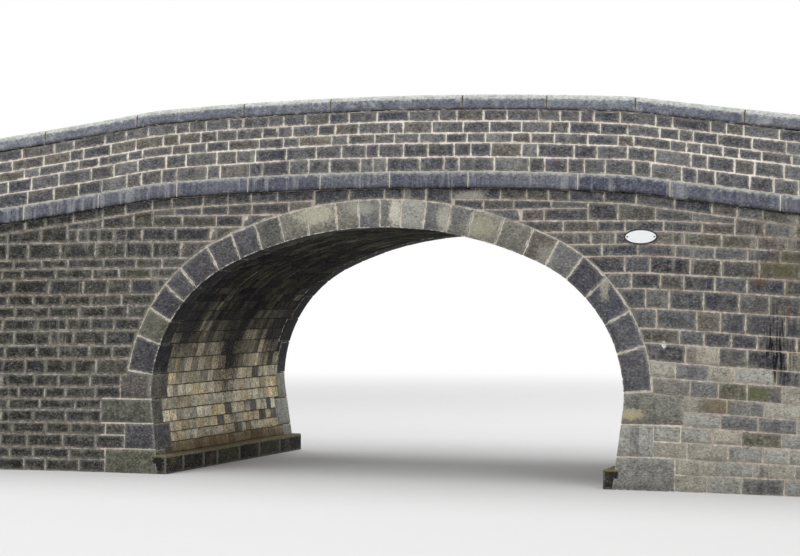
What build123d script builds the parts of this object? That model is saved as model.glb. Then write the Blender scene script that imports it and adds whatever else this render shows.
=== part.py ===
"""Stone arch bridge over a canal: one three-centred arch, battered walls, curved wings and a humped parapet.

X runs along the road, Y across it and Z up. The origin is on the water line, under the middle of the arch
and half way between the two faces. The front is the face towards -Y, and left is towards -X.
"""

from build123d import *

import math
import os

# Arch
SPAN = 7200.0
RISE = 2450.0
HAUNCH_RADIUS = 2125.0
SPRINGING = 1180.0
RING_DEPTH = 400.0
BARREL_DEPTH = 400.0
PIER_BATTER = 1 / 8

# Plan
WIDTH_AT_WATER = 5250.0
FACE_BATTER = 1 / 16
ROAD_WIDTH = 3850.0
WALL_BESIDE_RING = 400.0
WING_RADIUS = 11000.0
WING_REACH = 3900.0

# Heights of the hump, at the crest
STRING_BOTTOM = 4180.0
STRING_HEIGHT = 243.0
PARAPET_HEIGHT = 877.0
COPING_HEIGHT = 215.0
HUMP_RADIUS = 59500.0
CREST_HALF = 3450.0
SHOULDER_RADIUS = 4800.0
RAMP_SLOPE = 1 / 7

# Projections and small sizes
STRING_PROJECTION = 70.0
COPING_OVERHANG = 45.0
COPING_ROUND = 60.0
FOOTING_HEIGHT = 280.0
FOOTING_PROJECTION = 140.0
ROAD_BELOW_STRING = 40.0
ROAD_THICKNESS = 150.0
END_PIER_SIDE = 720.0
END_PIER_PROUD = 45.0
END_PIER_RISE = 90.0
END_CAP_HEIGHT = 170.0
END_CAP_OVERHANG = 55.0
END_CAP_PEAK = 70.0
END_CAP_SLOPE = 78.0
PLAQUE_WIDTH = 470.0
PLAQUE_HEIGHT = 215.0
PLAQUE_THICKNESS = 14.0
PLAQUE_BESIDE_ARCH = 200.0
PLAQUE_Z = 3460.0

HALF_SPAN = SPAN / 2
HALF_WIDTH = WIDTH_AT_WATER / 2
HALF_ROAD = ROAD_WIDTH / 2
EXTRADOS_SPRING = HALF_SPAN + RING_DEPTH
STRAIGHT_HALF = EXTRADOS_SPRING + WALL_BESIDE_RING
PLAQUE_X = HALF_SPAN + PLAQUE_BESIDE_ARCH
CROWN_RADIUS = ((HALF_SPAN - HAUNCH_RADIUS) ** 2 + RISE**2 - HAUNCH_RADIUS**2) / (2 * (RISE - HAUNCH_RADIUS))
HAUNCH_X = HALF_SPAN - HAUNCH_RADIUS
CROWN_CENTRE = SPRINGING + RISE - CROWN_RADIUS
HAUNCH_ANGLE = math.atan2(SPRINGING - CROWN_CENTRE, HAUNCH_X)
WING_ANGLE = math.degrees(math.asin(WING_REACH / WING_RADIUS))
CREST_ANGLE = math.asin(CREST_HALF / HUMP_RADIUS)
SHOULDER_END = CREST_HALF + SHOULDER_RADIUS * (math.sin(math.atan(RAMP_SLOPE)) - math.sin(CREST_ANGLE))
ROAD_TOP = STRING_BOTTOM + STRING_HEIGHT - ROAD_BELOW_STRING
COPING_BOTTOM = STRING_BOTTOM + STRING_HEIGHT + PARAPET_HEIGHT
ALL_HEIGHT = COPING_BOTTOM + COPING_HEIGHT + 500.0
ALL_LENGTH = STRAIGHT_HALF + WING_REACH + 1500.0
ALL_WIDTH = 3 * WIDTH_AT_WATER


def face(z, offset=0.0):
    """Y of the battered front face at height z, moved outwards by an offset."""
    return -HALF_WIDTH + FACE_BATTER * z - offset


def hump(x, crest):
    """Height of the humped line whose crest is given, at a distance x along the road."""
    x = abs(x)
    z = crest - (HUMP_RADIUS - math.sqrt(HUMP_RADIUS**2 - min(x, CREST_HALF) ** 2))
    if x > CREST_HALF:
        turn = min(x, SHOULDER_END) - CREST_HALF + SHOULDER_RADIUS * math.sin(CREST_ANGLE)
        z -= SHOULDER_RADIUS * math.cos(CREST_ANGLE) - math.sqrt(SHOULDER_RADIUS**2 - turn**2)
    if x > SHOULDER_END:
        z -= RAMP_SLOPE * (x - SHOULDER_END)
    return z


def hump_outline(crest):
    """Draws the humped line from left to right: ramp, shoulder, crest, shoulder and ramp."""
    middle = (CREST_HALF + SHOULDER_END) / 2
    xs = (-ALL_LENGTH, -SHOULDER_END, -middle, -CREST_HALF, 0, CREST_HALF, middle, SHOULDER_END, ALL_LENGTH)
    points = [(x, hump(x, crest)) for x in xs]
    Line(points[0], points[1])
    ThreePointArc(*points[1:4])
    ThreePointArc(*points[3:6])
    ThreePointArc(*points[5:8])
    Line(points[7], points[8])
    return points[0], points[8]


def below_hump(crest, floor=0.0):
    """A block as wide as the whole bridge, from a level floor up to the humped line."""
    with BuildPart() as block:
        with BuildSketch(Plane.XZ):
            with BuildLine():
                left_end, right_end = hump_outline(crest)
                Polyline(right_end, (ALL_LENGTH, floor), (-ALL_LENGTH, floor), left_end)
            make_face()
        extrude(amount=ALL_WIDTH / 2, both=True)
    return block.part


def hump_band(crest, height):
    """The band between the humped line at this crest and the same line higher up."""
    with BuildPart() as band:
        add(below_hump(crest + height))
        add(below_hump(crest), mode=Mode.SUBTRACT)
    return band.part


def arch_block(depth):
    """What the three-centred arch holds above its springing, grown outwards by a depth."""
    angle = math.degrees(HAUNCH_ANGLE)
    foot = HALF_SPAN + depth
    with BuildPart() as block:
        with BuildSketch(Plane.XZ):
            with BuildLine():
                CenterArc((HAUNCH_X, SPRINGING), HAUNCH_RADIUS + depth, 0, angle)
                CenterArc((0, CROWN_CENTRE), CROWN_RADIUS + depth, angle, 180 - 2 * angle)
                CenterArc((-HAUNCH_X, SPRINGING), HAUNCH_RADIUS + depth, 180 - angle, angle)
                Line((-foot, SPRINGING), (foot, SPRINGING))
            make_face()
        extrude(amount=ALL_WIDTH / 2, both=True)
    return block.part


def wall_section(low, high, proud=0.0, inner_proud=0.0):
    """Section of a front wall: battered outside, upright towards the road."""
    inner = -HALF_ROAD + inner_proud
    return [(face(low, proud), low), (inner, low), (inner, high), (face(high, proud), high)]


def wall_face(points, side, x):
    """A front wall section drawn across the road at x, on the side +1 for the front and -1 for the back."""
    with BuildSketch(Plane.YZ.offset(x)) as section:
        with BuildLine():
            Polyline(*[(side * y, z) for y, z in points], close=True)
        make_face()
    return section.sketch


def straight_wall(points, side, start, end):
    """Runs a front wall section along the road."""
    extrude(wall_face(points, side, start), amount=end - start)


def curved_wall(points, side, end):
    """Turns a front wall section round the centre of a wing's curve, at the end +1 for right and -1 for left."""
    centre = (end * STRAIGHT_HALF, -side * (HALF_WIDTH + WING_RADIUS), 0)
    section = wall_face(points, side, end * STRAIGHT_HALF)
    revolve(section, axis=Axis(centre, (0, 0, -end * side)), revolution_arc=WING_ANGLE)


def wing_end_plane(side, end):
    """Upright plane across a wing's end: its x is the distance from the centre of the wing's curve."""
    angle = math.radians(WING_ANGLE)
    centre = Vector(end * STRAIGHT_HALF, -side * (HALF_WIDTH + WING_RADIUS), 0)
    inwards = Vector(end * math.sin(angle), side * math.cos(angle), 0)
    return Plane(origin=centre, x_dir=inwards, z_dir=inwards.cross(Vector(0, 0, 1)))


def keep(piece, name):
    """Labels a finished piece and writes it."""
    piece.part.label = name
    export_step(piece.part, f"parts/{name}.step")


os.makedirs("parts", exist_ok=True)

SIDES = {"front": 1, "back": -1}
ENDS = {"left": -1, "right": 1}
STRING_TOP = STRING_BOTTOM + STRING_HEIGHT
ROAD_BOTTOM = ROAD_TOP - ROAD_THICKNESS
WING_INNER_RADIUS = WING_RADIUS + HALF_WIDTH - HALF_ROAD

arch_opening = arch_block(0)
arch_back = arch_block(RING_DEPTH)
barrel_back = arch_block(BARREL_DEPTH)
under_string = below_hump(STRING_BOTTOM)
string_band = hump_band(STRING_BOTTOM, STRING_HEIGHT)
parapet_band = hump_band(STRING_TOP, PARAPET_HEIGHT)
coping_band = hump_band(COPING_BOTTOM, COPING_HEIGHT)
under_road = below_hump(ROAD_BOTTOM)
road_band = hump_band(ROAD_BOTTOM, ROAD_THICKNESS)

# The barrel of the arch, between the two face rings
with BuildPart() as arch_barrel:
    with BuildSketch(Plane.XY.offset(SPRINGING)):
        Rectangle(2 * EXTRADOS_SPRING, ROAD_WIDTH)
    extrude(amount=RISE + BARREL_DEPTH)
    add(barrel_back, mode=Mode.INTERSECT)
    add(arch_opening, mode=Mode.SUBTRACT)
keep(arch_barrel, "arch_barrel")

# Face rings, spandrel walls and the straight stretch of string course, parapet and coping
for side_name, side in SIDES.items():
    for end_name, end in ENDS.items():
        stretch = sorted((0, end * STRAIGHT_HALF))
        with BuildPart() as ring:
            straight_wall(wall_section(SPRINGING, ALL_HEIGHT), side, *stretch)
            add(arch_back, mode=Mode.INTERSECT)
            add(arch_opening, mode=Mode.SUBTRACT)
        keep(ring, f"{side_name}_{end_name}_arch_ring")

        with BuildPart() as spandrel:
            straight_wall(wall_section(SPRINGING, ALL_HEIGHT), side, *stretch)
            add(under_string, mode=Mode.INTERSECT)
            add(arch_back, mode=Mode.SUBTRACT)
        keep(spandrel, f"{side_name}_{end_name}_spandrel")

    with BuildPart() as string_course:
        straight_wall(wall_section(0, ALL_HEIGHT, STRING_PROJECTION), side, -STRAIGHT_HALF, STRAIGHT_HALF)
        add(string_band, mode=Mode.INTERSECT)
    keep(string_course, f"{side_name}_string_course")

    with BuildPart() as parapet:
        straight_wall(wall_section(0, ALL_HEIGHT), side, -STRAIGHT_HALF, STRAIGHT_HALF)
        add(parapet_band, mode=Mode.INTERSECT)
    keep(parapet, f"{side_name}_parapet")

    with BuildPart() as coping:
        section = wall_section(0, ALL_HEIGHT, COPING_OVERHANG, COPING_OVERHANG)
        straight_wall(section, side, -STRAIGHT_HALF, STRAIGHT_HALF)
        add(coping_band, mode=Mode.INTERSECT)
        top = coping.faces().filter_by(lambda f: f.normal_at().Z > 0.9)
        arrises = top.edges().filter_by(lambda e: abs(e.tangent_at(0.5).X) > 0.9)
        chamfer(arrises, length=COPING_ROUND)
    keep(coping, f"{side_name}_coping")

# Abutments and their footings at the water
for end_name, end in ENDS.items():
    with BuildPart() as abutment:
        with BuildSketch(Plane.XZ):
            with BuildLine():
                foot = HALF_SPAN - PIER_BATTER * SPRINGING
                Polyline(
                    (end * foot, 0),
                    (end * HALF_SPAN, SPRINGING),
                    (end * STRAIGHT_HALF, SPRINGING),
                    (end * STRAIGHT_HALF, 0),
                    close=True,
                )
            make_face()
        extrude(amount=ALL_WIDTH / 2, both=True)
        with BuildSketch(Plane.YZ.offset(-ALL_LENGTH)):
            with BuildLine():
                Polyline(
                    (face(0), 0),
                    (-face(0), 0),
                    (-face(SPRINGING), SPRINGING),
                    (face(SPRINGING), SPRINGING),
                    close=True,
                )
            make_face()
        extrude(amount=2 * ALL_LENGTH, mode=Mode.INTERSECT)
    keep(abutment, f"{end_name}_abutment")

    with BuildPart() as footing:
        with BuildSketch(Plane.XZ):
            with BuildLine():
                toe = HALF_SPAN - PIER_BATTER * SPRINGING
                heel = toe + PIER_BATTER * FOOTING_HEIGHT
                Polyline(
                    (end * (toe - FOOTING_PROJECTION), 0),
                    (end * toe, 0),
                    (end * heel, FOOTING_HEIGHT),
                    (end * (toe - FOOTING_PROJECTION), FOOTING_HEIGHT),
                    close=True,
                )
            make_face()
        extrude(amount=HALF_WIDTH, both=True)
    keep(footing, f"{end_name}_footing")

# Fill over the barrel
with BuildPart() as spandrel_fill:
    with BuildSketch(Plane.XY.offset(SPRINGING)):
        Rectangle(2 * STRAIGHT_HALF, ROAD_WIDTH)
    extrude(amount=ALL_HEIGHT)
    add(under_road, mode=Mode.INTERSECT)
    add(barrel_back, mode=Mode.SUBTRACT)
keep(spandrel_fill, "spandrel_fill")


def approach_plan(end):
    """Plan of an approach between its two wings and their end piers."""
    with BuildSketch(Plane.XY) as plan:
        with BuildLine():
            ends = []
            for side in (1, -1):
                across = wing_end_plane(side, end)
                radius = WING_INNER_RADIUS + END_PIER_PROUD
                reach = end * side * END_PIER_SIDE
                corner = across.from_local_coords((WING_INNER_RADIUS, 0, 0))
                near = across.from_local_coords((radius, 0, 0))
                far = across.from_local_coords((radius, 0, reach))
                centre = (end * STRAIGHT_HALF, -side * (HALF_WIDTH + WING_RADIUS))
                CenterArc(centre, WING_INNER_RADIUS, side * 90, -end * side * WING_ANGLE)
                Polyline(*[(point.X, point.Y) for point in (corner, near, far)])
                ends.append((far.X, far.Y))
            Line(*ends)
            Line((end * STRAIGHT_HALF, -HALF_ROAD), (end * STRAIGHT_HALF, HALF_ROAD))
        make_face()
    return plan.sketch


# Roadway, one layer from end to end
with BuildPart() as roadway:
    with BuildSketch(Plane.XY):
        Rectangle(2 * STRAIGHT_HALF, ROAD_WIDTH)
        for end in ENDS.values():
            add(approach_plan(end))
    extrude(amount=ALL_HEIGHT)
    add(road_band, mode=Mode.INTERSECT)
keep(roadway, "roadway")

# Approaches: fill, wing walls and their end piers
for end_name, end in ENDS.items():
    with BuildPart() as approach_fill:
        add(approach_plan(end))
        extrude(amount=ALL_HEIGHT)
        add(under_road, mode=Mode.INTERSECT)
    keep(approach_fill, f"{end_name}_approach_fill")

    for side_name, side in SIDES.items():
        corner = f"{side_name}_{end_name}"
        with BuildPart() as wing_wall:
            curved_wall(wall_section(0, ALL_HEIGHT), side, end)
            add(under_string, mode=Mode.INTERSECT)
        keep(wing_wall, f"{corner}_wing_wall")

        with BuildPart() as wing_string:
            curved_wall(wall_section(0, ALL_HEIGHT, STRING_PROJECTION), side, end)
            add(string_band, mode=Mode.INTERSECT)
        keep(wing_string, f"{corner}_wing_string_course")

        with BuildPart() as wing_parapet:
            curved_wall(wall_section(0, ALL_HEIGHT), side, end)
            add(parapet_band, mode=Mode.INTERSECT)
        keep(wing_parapet, f"{corner}_wing_parapet")

        with BuildPart() as wing_coping:
            curved_wall(wall_section(0, ALL_HEIGHT, COPING_OVERHANG, COPING_OVERHANG), side, end)
            add(coping_band, mode=Mode.INTERSECT)
            top = wing_coping.faces().filter_by(lambda f: f.normal_at().Z > 0.9)
            arrises = top.edges().filter_by(lambda e: abs(e.tangent_at(0.5).X) > 0.8)
            chamfer(arrises, length=COPING_ROUND)
        keep(wing_coping, f"{corner}_wing_coping")

        end_plane = wing_end_plane(side, end)
        end_x = STRAIGHT_HALF + WING_INNER_RADIUS * math.sin(math.radians(WING_ANGLE))
        pier_top = hump(end_x, COPING_BOTTOM + COPING_HEIGHT) + END_PIER_RISE
        pier_inner = WING_INNER_RADIUS + END_PIER_PROUD
        pier_foot = WING_RADIUS - END_PIER_PROUD
        outer = pier_foot + FACE_BATTER * pier_top - END_CAP_OVERHANG
        cap_width = pier_inner + END_CAP_OVERHANG - outer
        cap_length = END_PIER_SIDE + 2 * END_CAP_OVERHANG
        middle = end_plane.from_local_coords((outer + cap_width / 2, pier_top, end * side * END_PIER_SIDE / 2))
        cap_plane = Plane(origin=middle, x_dir=end_plane.x_dir, z_dir=(0, 0, 1))
        with BuildPart() as end_pier:
            with BuildSketch(end_plane):
                with BuildLine():
                    Polyline(
                        (pier_foot, 0),
                        (pier_inner, 0),
                        (pier_inner, pier_top),
                        (pier_foot + FACE_BATTER * pier_top, pier_top),
                        close=True,
                    )
                make_face()
            extrude(amount=end * side * END_PIER_SIDE)
            with BuildSketch(cap_plane):
                Rectangle(cap_width, cap_length)
            extrude(amount=END_CAP_HEIGHT)
            with BuildSketch(cap_plane.offset(END_CAP_HEIGHT)):
                Rectangle(cap_width, cap_length)
            extrude(amount=END_CAP_PEAK, taper=END_CAP_SLOPE)
        keep(end_pier, f"{corner}_end_pier")

# Oval number plate on the front, beside the arch
plate_plane = Plane(origin=(PLAQUE_X, face(PLAQUE_Z), PLAQUE_Z), x_dir=(1, 0, 0), z_dir=(0, -1, FACE_BATTER))
with BuildPart() as plaque:
    with BuildSketch(plate_plane):
        Ellipse(PLAQUE_WIDTH / 2, PLAQUE_HEIGHT / 2)
    extrude(amount=PLAQUE_THICKNESS)
keep(plaque, "oval_plaque")
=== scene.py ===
"""Looks of a stone arch bridge: its stones, mortar, stains and road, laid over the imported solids.

Metres, in the frame of the solids: X runs along the road, Y across it and Z up from the water line.
A surface here is a function of two coordinates on a wall and of a distance out of it, in a right-handed order.
"""
import math
import random
from itertools import pairwise

import bpy
import numpy as np
from mathutils import Matrix, Vector, noise

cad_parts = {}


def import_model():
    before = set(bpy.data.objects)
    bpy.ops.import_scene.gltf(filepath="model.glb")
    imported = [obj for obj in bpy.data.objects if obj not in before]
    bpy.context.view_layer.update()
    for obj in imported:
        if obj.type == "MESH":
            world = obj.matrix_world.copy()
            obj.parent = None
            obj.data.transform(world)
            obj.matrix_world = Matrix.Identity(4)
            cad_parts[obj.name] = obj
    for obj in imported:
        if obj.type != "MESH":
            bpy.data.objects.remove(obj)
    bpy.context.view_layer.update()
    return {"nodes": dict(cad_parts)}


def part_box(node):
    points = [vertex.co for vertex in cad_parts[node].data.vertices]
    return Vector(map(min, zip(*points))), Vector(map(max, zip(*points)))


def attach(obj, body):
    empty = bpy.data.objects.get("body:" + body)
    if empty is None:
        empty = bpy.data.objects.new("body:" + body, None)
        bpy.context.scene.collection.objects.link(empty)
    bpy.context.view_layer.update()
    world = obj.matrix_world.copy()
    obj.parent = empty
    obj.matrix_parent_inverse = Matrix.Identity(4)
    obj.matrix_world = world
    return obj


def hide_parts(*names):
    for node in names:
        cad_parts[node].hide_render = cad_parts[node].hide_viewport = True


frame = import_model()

# Sizes of the solids
SPAN = 7.2
RISE = 2.45
HAUNCH_RADIUS = 2.125
SPRINGING = 1.18
RING_DEPTH = 0.4
PIER_BATTER = 1 / 8
WIDTH_AT_WATER = 5.25
FACE_BATTER = 1 / 16
ROAD_WIDTH = 3.85
STRAIGHT_HALF = 4.4
WING_RADIUS = 11.0
WING_REACH = 3.9
STRING_BOTTOM = 4.18
STRING_HEIGHT = 0.243
PARAPET_HEIGHT = 0.877
COPING_HEIGHT = 0.215
HUMP_RADIUS = 59.5
CREST_HALF = 3.45
SHOULDER_RADIUS = 4.8
RAMP_SLOPE = 1 / 7
STRING_PROJECTION = 0.07
COPING_OVERHANG = 0.045
FOOTING_HEIGHT = 0.28
FOOTING_PROJECTION = 0.14
ROAD_BELOW_STRING = 0.04
ROAD_THICKNESS = 0.15
END_PIER_SIDE = 0.72
END_PIER_PROUD = 0.045
END_PIER_RISE = 0.09
END_CAP_HEIGHT = 0.17
END_CAP_OVERHANG = 0.055
END_CAP_PEAK = 0.07

HALF_SPAN = SPAN / 2
HALF_WIDTH = WIDTH_AT_WATER / 2
HALF_ROAD = ROAD_WIDTH / 2
WING_INNER_RADIUS = WING_RADIUS + HALF_WIDTH - HALF_ROAD
WING_ANGLE = math.asin(WING_REACH / WING_RADIUS)
WALL_END = STRAIGHT_HALF + WING_RADIUS * WING_ANGLE
HAUNCH_X = HALF_SPAN - HAUNCH_RADIUS
CROWN_RADIUS = (HAUNCH_X**2 + RISE**2 - HAUNCH_RADIUS**2) / (2 * (RISE - HAUNCH_RADIUS))
CROWN_CENTRE = SPRINGING + RISE - CROWN_RADIUS
CROWN_ANGLE = math.atan2(HAUNCH_X, SPRINGING - CROWN_CENTRE)
CROWN_LENGTH = CROWN_RADIUS * CROWN_ANGLE
ARCH_LENGTH = CROWN_LENGTH + HAUNCH_RADIUS * (math.pi / 2 - CROWN_ANGLE)
BATTER_LENGTH = math.hypot(1, PIER_BATTER)
FOOT_LENGTH = ARCH_LENGTH + SPRINGING * BATTER_LENGTH
CREST_ANGLE = math.asin(CREST_HALF / HUMP_RADIUS)
SHOULDER_END = CREST_HALF + SHOULDER_RADIUS * (math.sin(math.atan(RAMP_SLOPE)) - math.sin(CREST_ANGLE))
STRING_TOP = STRING_BOTTOM + STRING_HEIGHT
COPING_BOTTOM = STRING_TOP + PARAPET_HEIGHT
COPING_TOP = COPING_BOTTOM + COPING_HEIGHT
ROAD_TOP = STRING_TOP - ROAD_BELOW_STRING
END_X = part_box("right_approach_fill")[1].x

# Stones, as the photograph shows them
VOUSSOIR_START = -4.57
VOUSSOIR_WIDTHS = (
    0.46, 0.38, 0.36, 0.29, 0.44, 0.38, 0.37, 0.37, 0.40, 0.44, 0.34, 0.31,
    0.31, 0.35, 0.35, 0.33, 0.43, 0.43, 0.36, 0.36, 0.38, 0.47, 0.44, 0.54,
)
VOUSSOIR_JOINTS = (np.cumsum((0.0, *VOUSSOIR_WIDTHS)) + VOUSSOIR_START).tolist()
RIGHT_QUOINS = (0, 0.45, 0.893, 1.316)
LEFT_QUOINS = (0, 0.36, 0.74, 1.1, 1.47)
RIGHT_COURSES = (
    0, 0.235, 0.45, 0.675, 0.893, 1.1, 1.316, 1.546, 1.757, 2.01, 2.207, 2.485, 2.751, 2.966, 3.193, 3.363, 3.535,
    3.69, 3.865,
)
LEFT_COURSES = (
    0, 0.19, 0.36, 0.56, 0.74, 0.93, 1.1, 1.28, 1.47, 1.7, 1.9, 2.12, 2.31, 2.489, 2.663, 2.894, 3.055, 3.199, 3.448,
    3.65, 3.83,
)
TOP_COURSE = 0.155
PARAPET_COURSES = (0, 0.207, 0.404, 0.55, 0.716, PARAPET_HEIGHT)
COPING_LENGTHS = (1.35, 1.6, 1.5, 1.75, 1.37, 2.01, 1.24, 1.27, 1.5, 1.65, 1.54)
STRING_LENGTHS = (1.25, 1.4, 1.2, 1.3, 1.15, 1.14, 1.07, 1.18, 1.6, 1.3, 1.5, 1.2, 1.48)
THINNEST_STONE = 0.08
QUOIN_LENGTHS = (0.86, 0.5)
BARREL_COURSE = 0.185
PIER_COURSE = 0.34

# Stones that are left to chance: from the shortest to the longest
FACE_LENGTHS = (0.32, 0.6)
TOP_LENGTHS = (0.3, 0.55)
PARAPET_LENGTHS = (0.19, 0.53)
LOW_VAULT_LENGTHS = (0.17, 0.28)
HIGH_VAULT_LENGTHS = (0.17, 0.46)
KERB_LENGTHS = (0.5, 0.85)
RUBBLE_LENGTHS = (0.22, 0.55)
RUBBLE_COURSES = (0.17, 0.34)

# How far stones stand proud, and how far the front's reach in
FACE_PROUD = (0.006, 0.012)
PARAPET_PROUD = (0.004, 0.014)
VAULT_PROUD = (0.003, 0.011)
RUBBLE_PROUD = (0.012, 0.03)
VOUSSOIR_PROUD = (0.008, 0.014)
VOUSSOIR_DROP = (0.004, 0.01)
QUOIN_PROUD = (0.008, 0.012)
QUOIN_SIDE_PROUD = 0.008
STONE_DEPTH = 0.05
VOUSSOIR_TAILS = (0.48, 0.34)
QUOIN_TAILS = (0.34, 0.55)

# Joints and arrises
WALL_JOINT = 0.013
PARAPET_JOINT = 0.012
RING_JOINT = 0.014
BARREL_JOINT = 0.009
DRESSED_JOINT = 0.010
RUBBLE_JOINT = 0.026
BED_INSET = 0.011
BEVEL = 0.1
COURSE_WANDER = 0.006
RUBBLE_WANDER = 0.02
BEND_START = 3.95
RIGHT_DIP = 0.055
LEFT_DIP = 0.012

# Small things
CAP_SLOPE_LENGTH = 0.33
PLATE_THICKNESS = 0.027
PLATE_RIM = 0.015
BOLT_RADIUS = 0.011
BOLT_REACH = 0.19
PEBBLES = 1600
TRACK_REACH = 0.75

# View and light
EYE = (10.421, -30.65, 2.712)
YAW = 0.3446
PITCH = 0.0062
ROLL = 0.0015
LENS = 94.5
LAMPS = {  # place, size and power
    "key_lamp": ((-16.0, -24.0, 22.0), 16.0, 2620.0),
    "fill_lamp": ((32.0, -30.0, 7.0), 14.0, 4800.0),
    "sky_lamp": ((0.0, 0.0, 30.0), 34.0, 8470.0),
    "back_lamp": ((6.0, 26.0, 20.0), 16.0, 1770.0),
}
LAMP_TARGET = (0, 0, 2)
WORLD_LIGHT = 0.29
FLOOR_SHADE = (0.74, 0.74, 0.74)
FLOOR_RADIUS = 160.0
FLOOR_FADE = (14.0, 40.0)


# Surfaces


def hump(x, crest):
    """Height of the humped line whose crest is given, at a distance x along the road."""
    x = np.abs(x)
    z = crest - (HUMP_RADIUS - np.sqrt(HUMP_RADIUS**2 - np.minimum(x, CREST_HALF) ** 2))
    turn = np.clip(x, CREST_HALF, SHOULDER_END) - CREST_HALF + SHOULDER_RADIUS * math.sin(CREST_ANGLE)
    z = z - (SHOULDER_RADIUS * math.cos(CREST_ANGLE) - np.sqrt(SHOULDER_RADIUS**2 - turn**2))
    return z - RAMP_SLOPE * np.maximum(x - SHOULDER_END, 0)


def on_curve(s, radius):
    """X and Y at a distance s along a front wall, at a radius from the centres of its two wings' curves."""
    turn = np.maximum(np.abs(s) - STRAIGHT_HALF, 0) / WING_RADIUS
    x = np.sign(s) * (np.minimum(np.abs(s), STRAIGHT_HALF) + radius * np.sin(turn))
    return x, radius * np.cos(turn) - HALF_WIDTH - WING_RADIUS


def humped(s, crest):
    """The humped line at a distance s along a front wall."""
    return hump(on_curve(s, WING_RADIUS)[0], crest)


def outer_face(s, z, out):
    """Battered outer face of the front wall."""
    x, y = on_curve(s, WING_RADIUS + FACE_BATTER * z - out)
    return np.stack((x, y, z), -1)


def outer_band(s, rise, out):
    """The same face, with heights measured up from the top of the string course."""
    return outer_face(s, humped(s, STRING_TOP) + rise, out)


def inner_band(s, rise, out):
    """Inner face of the front parapet, seen from the road, so that s runs the other way."""
    x, y = on_curve(-s, WING_INNER_RADIUS + out)
    return np.stack((x, y, hump(x, STRING_TOP) + rise), -1)


def arch_line(t, depth):
    """X and Z at a distance t along the intrados, right of the crown, and a depth into the stone."""
    reach = np.abs(t)
    angle = np.minimum(reach, CROWN_LENGTH) / CROWN_RADIUS
    angle = angle + np.clip(reach - CROWN_LENGTH, 0, ARCH_LENGTH - CROWN_LENGTH) / HAUNCH_RADIUS
    in_crown = reach <= CROWN_LENGTH
    radius = np.where(in_crown, CROWN_RADIUS, HAUNCH_RADIUS) + depth
    x = np.where(in_crown, 0, HAUNCH_X) + radius * np.sin(angle)
    z = np.where(in_crown, CROWN_CENTRE, SPRINGING) + radius * np.cos(angle)
    drop = np.maximum(reach - ARCH_LENGTH, 0) / BATTER_LENGTH
    return np.sign(t) * (x - PIER_BATTER * drop), z - drop


def arch_point(t, depth=0.0):
    """X and Z of one place, as plain numbers."""
    return [float(value) for value in arch_line(t, depth)]


def soffit(y, t, out):
    """Underside of the arch and, below its springings, the inner faces of the abutments."""
    x, z = arch_line(t, -out)
    return np.stack((x, y, z), -1)


def ring_face(t, depth, out):
    """Front face of the arch ring."""
    x, z = arch_line(t, depth)
    return np.stack((x, -HALF_WIDTH + FACE_BATTER * z - out, z), -1)


def end_face(y, z, out):
    """Upright end of the right approach."""
    return np.stack((np.full_like(y, END_X) + out, y, z), -1)


def beside_pier(end, reach, z, radius):
    """Beyond the end of a wing: a reach on past it, at a radius from the centre of its curve."""
    x = end * (STRAIGHT_HALF + radius * math.sin(WING_ANGLE) + reach * math.cos(WING_ANGLE))
    y = radius * math.cos(WING_ANGLE) - reach * math.sin(WING_ANGLE) - HALF_WIDTH - WING_RADIUS
    return np.stack((x, y, z), -1)


def extrados_height(x):
    """Height of the back of the ring over x."""
    x = np.minimum(np.abs(x), HALF_SPAN + RING_DEPTH)
    crown = CROWN_CENTRE + np.sqrt(np.maximum((CROWN_RADIUS + RING_DEPTH) ** 2 - x**2, 0))
    haunch = SPRINGING + np.sqrt(np.maximum((HAUNCH_RADIUS + RING_DEPTH) ** 2 - (x - HAUNCH_X) ** 2, 0))
    return np.where(x < (CROWN_RADIUS + RING_DEPTH) * math.sin(CROWN_ANGLE), crown, haunch)


def arch_reach(z, depth):
    """How far from the middle the arch is at a height z, at a depth into the stone."""
    knee = CROWN_CENTRE + (CROWN_RADIUS + depth) * math.cos(CROWN_ANGLE)
    crown = np.sqrt(np.maximum((CROWN_RADIUS + depth) ** 2 - (z - CROWN_CENTRE) ** 2, 0))
    haunch = HAUNCH_X + np.sqrt(np.maximum((HAUNCH_RADIUS + depth) ** 2 - np.maximum(z - SPRINGING, 0) ** 2, 0))
    return np.where(z > knee, crown, haunch) - PIER_BATTER * np.maximum(SPRINGING - z, 0)


def reach_at(z, depth=0.0):
    """The same at one height, as a plain number."""
    return float(arch_reach(z, depth))


# Blocks, each modelled once


def select_faces(mesh, wanted):
    """Selects the faces for which wanted(face) is true, from edit mode."""
    bpy.ops.mesh.select_all(action="DESELECT")
    bpy.ops.object.mode_set(mode="OBJECT")
    for face in mesh.polygons:
        face.select = wanted(face)
    bpy.ops.object.mode_set(mode="EDIT")
    bpy.ops.mesh.select_mode(type="FACE")


def taken(piece):
    """The points and faces of a piece, which goes again."""
    bpy.ops.object.mode_set(mode="OBJECT")
    points = np.array([vertex.co for vertex in piece.data.vertices])
    faces = [tuple(face.vertices) for face in piece.data.polygons]
    bpy.data.objects.remove(piece)
    return points, faces


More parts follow.
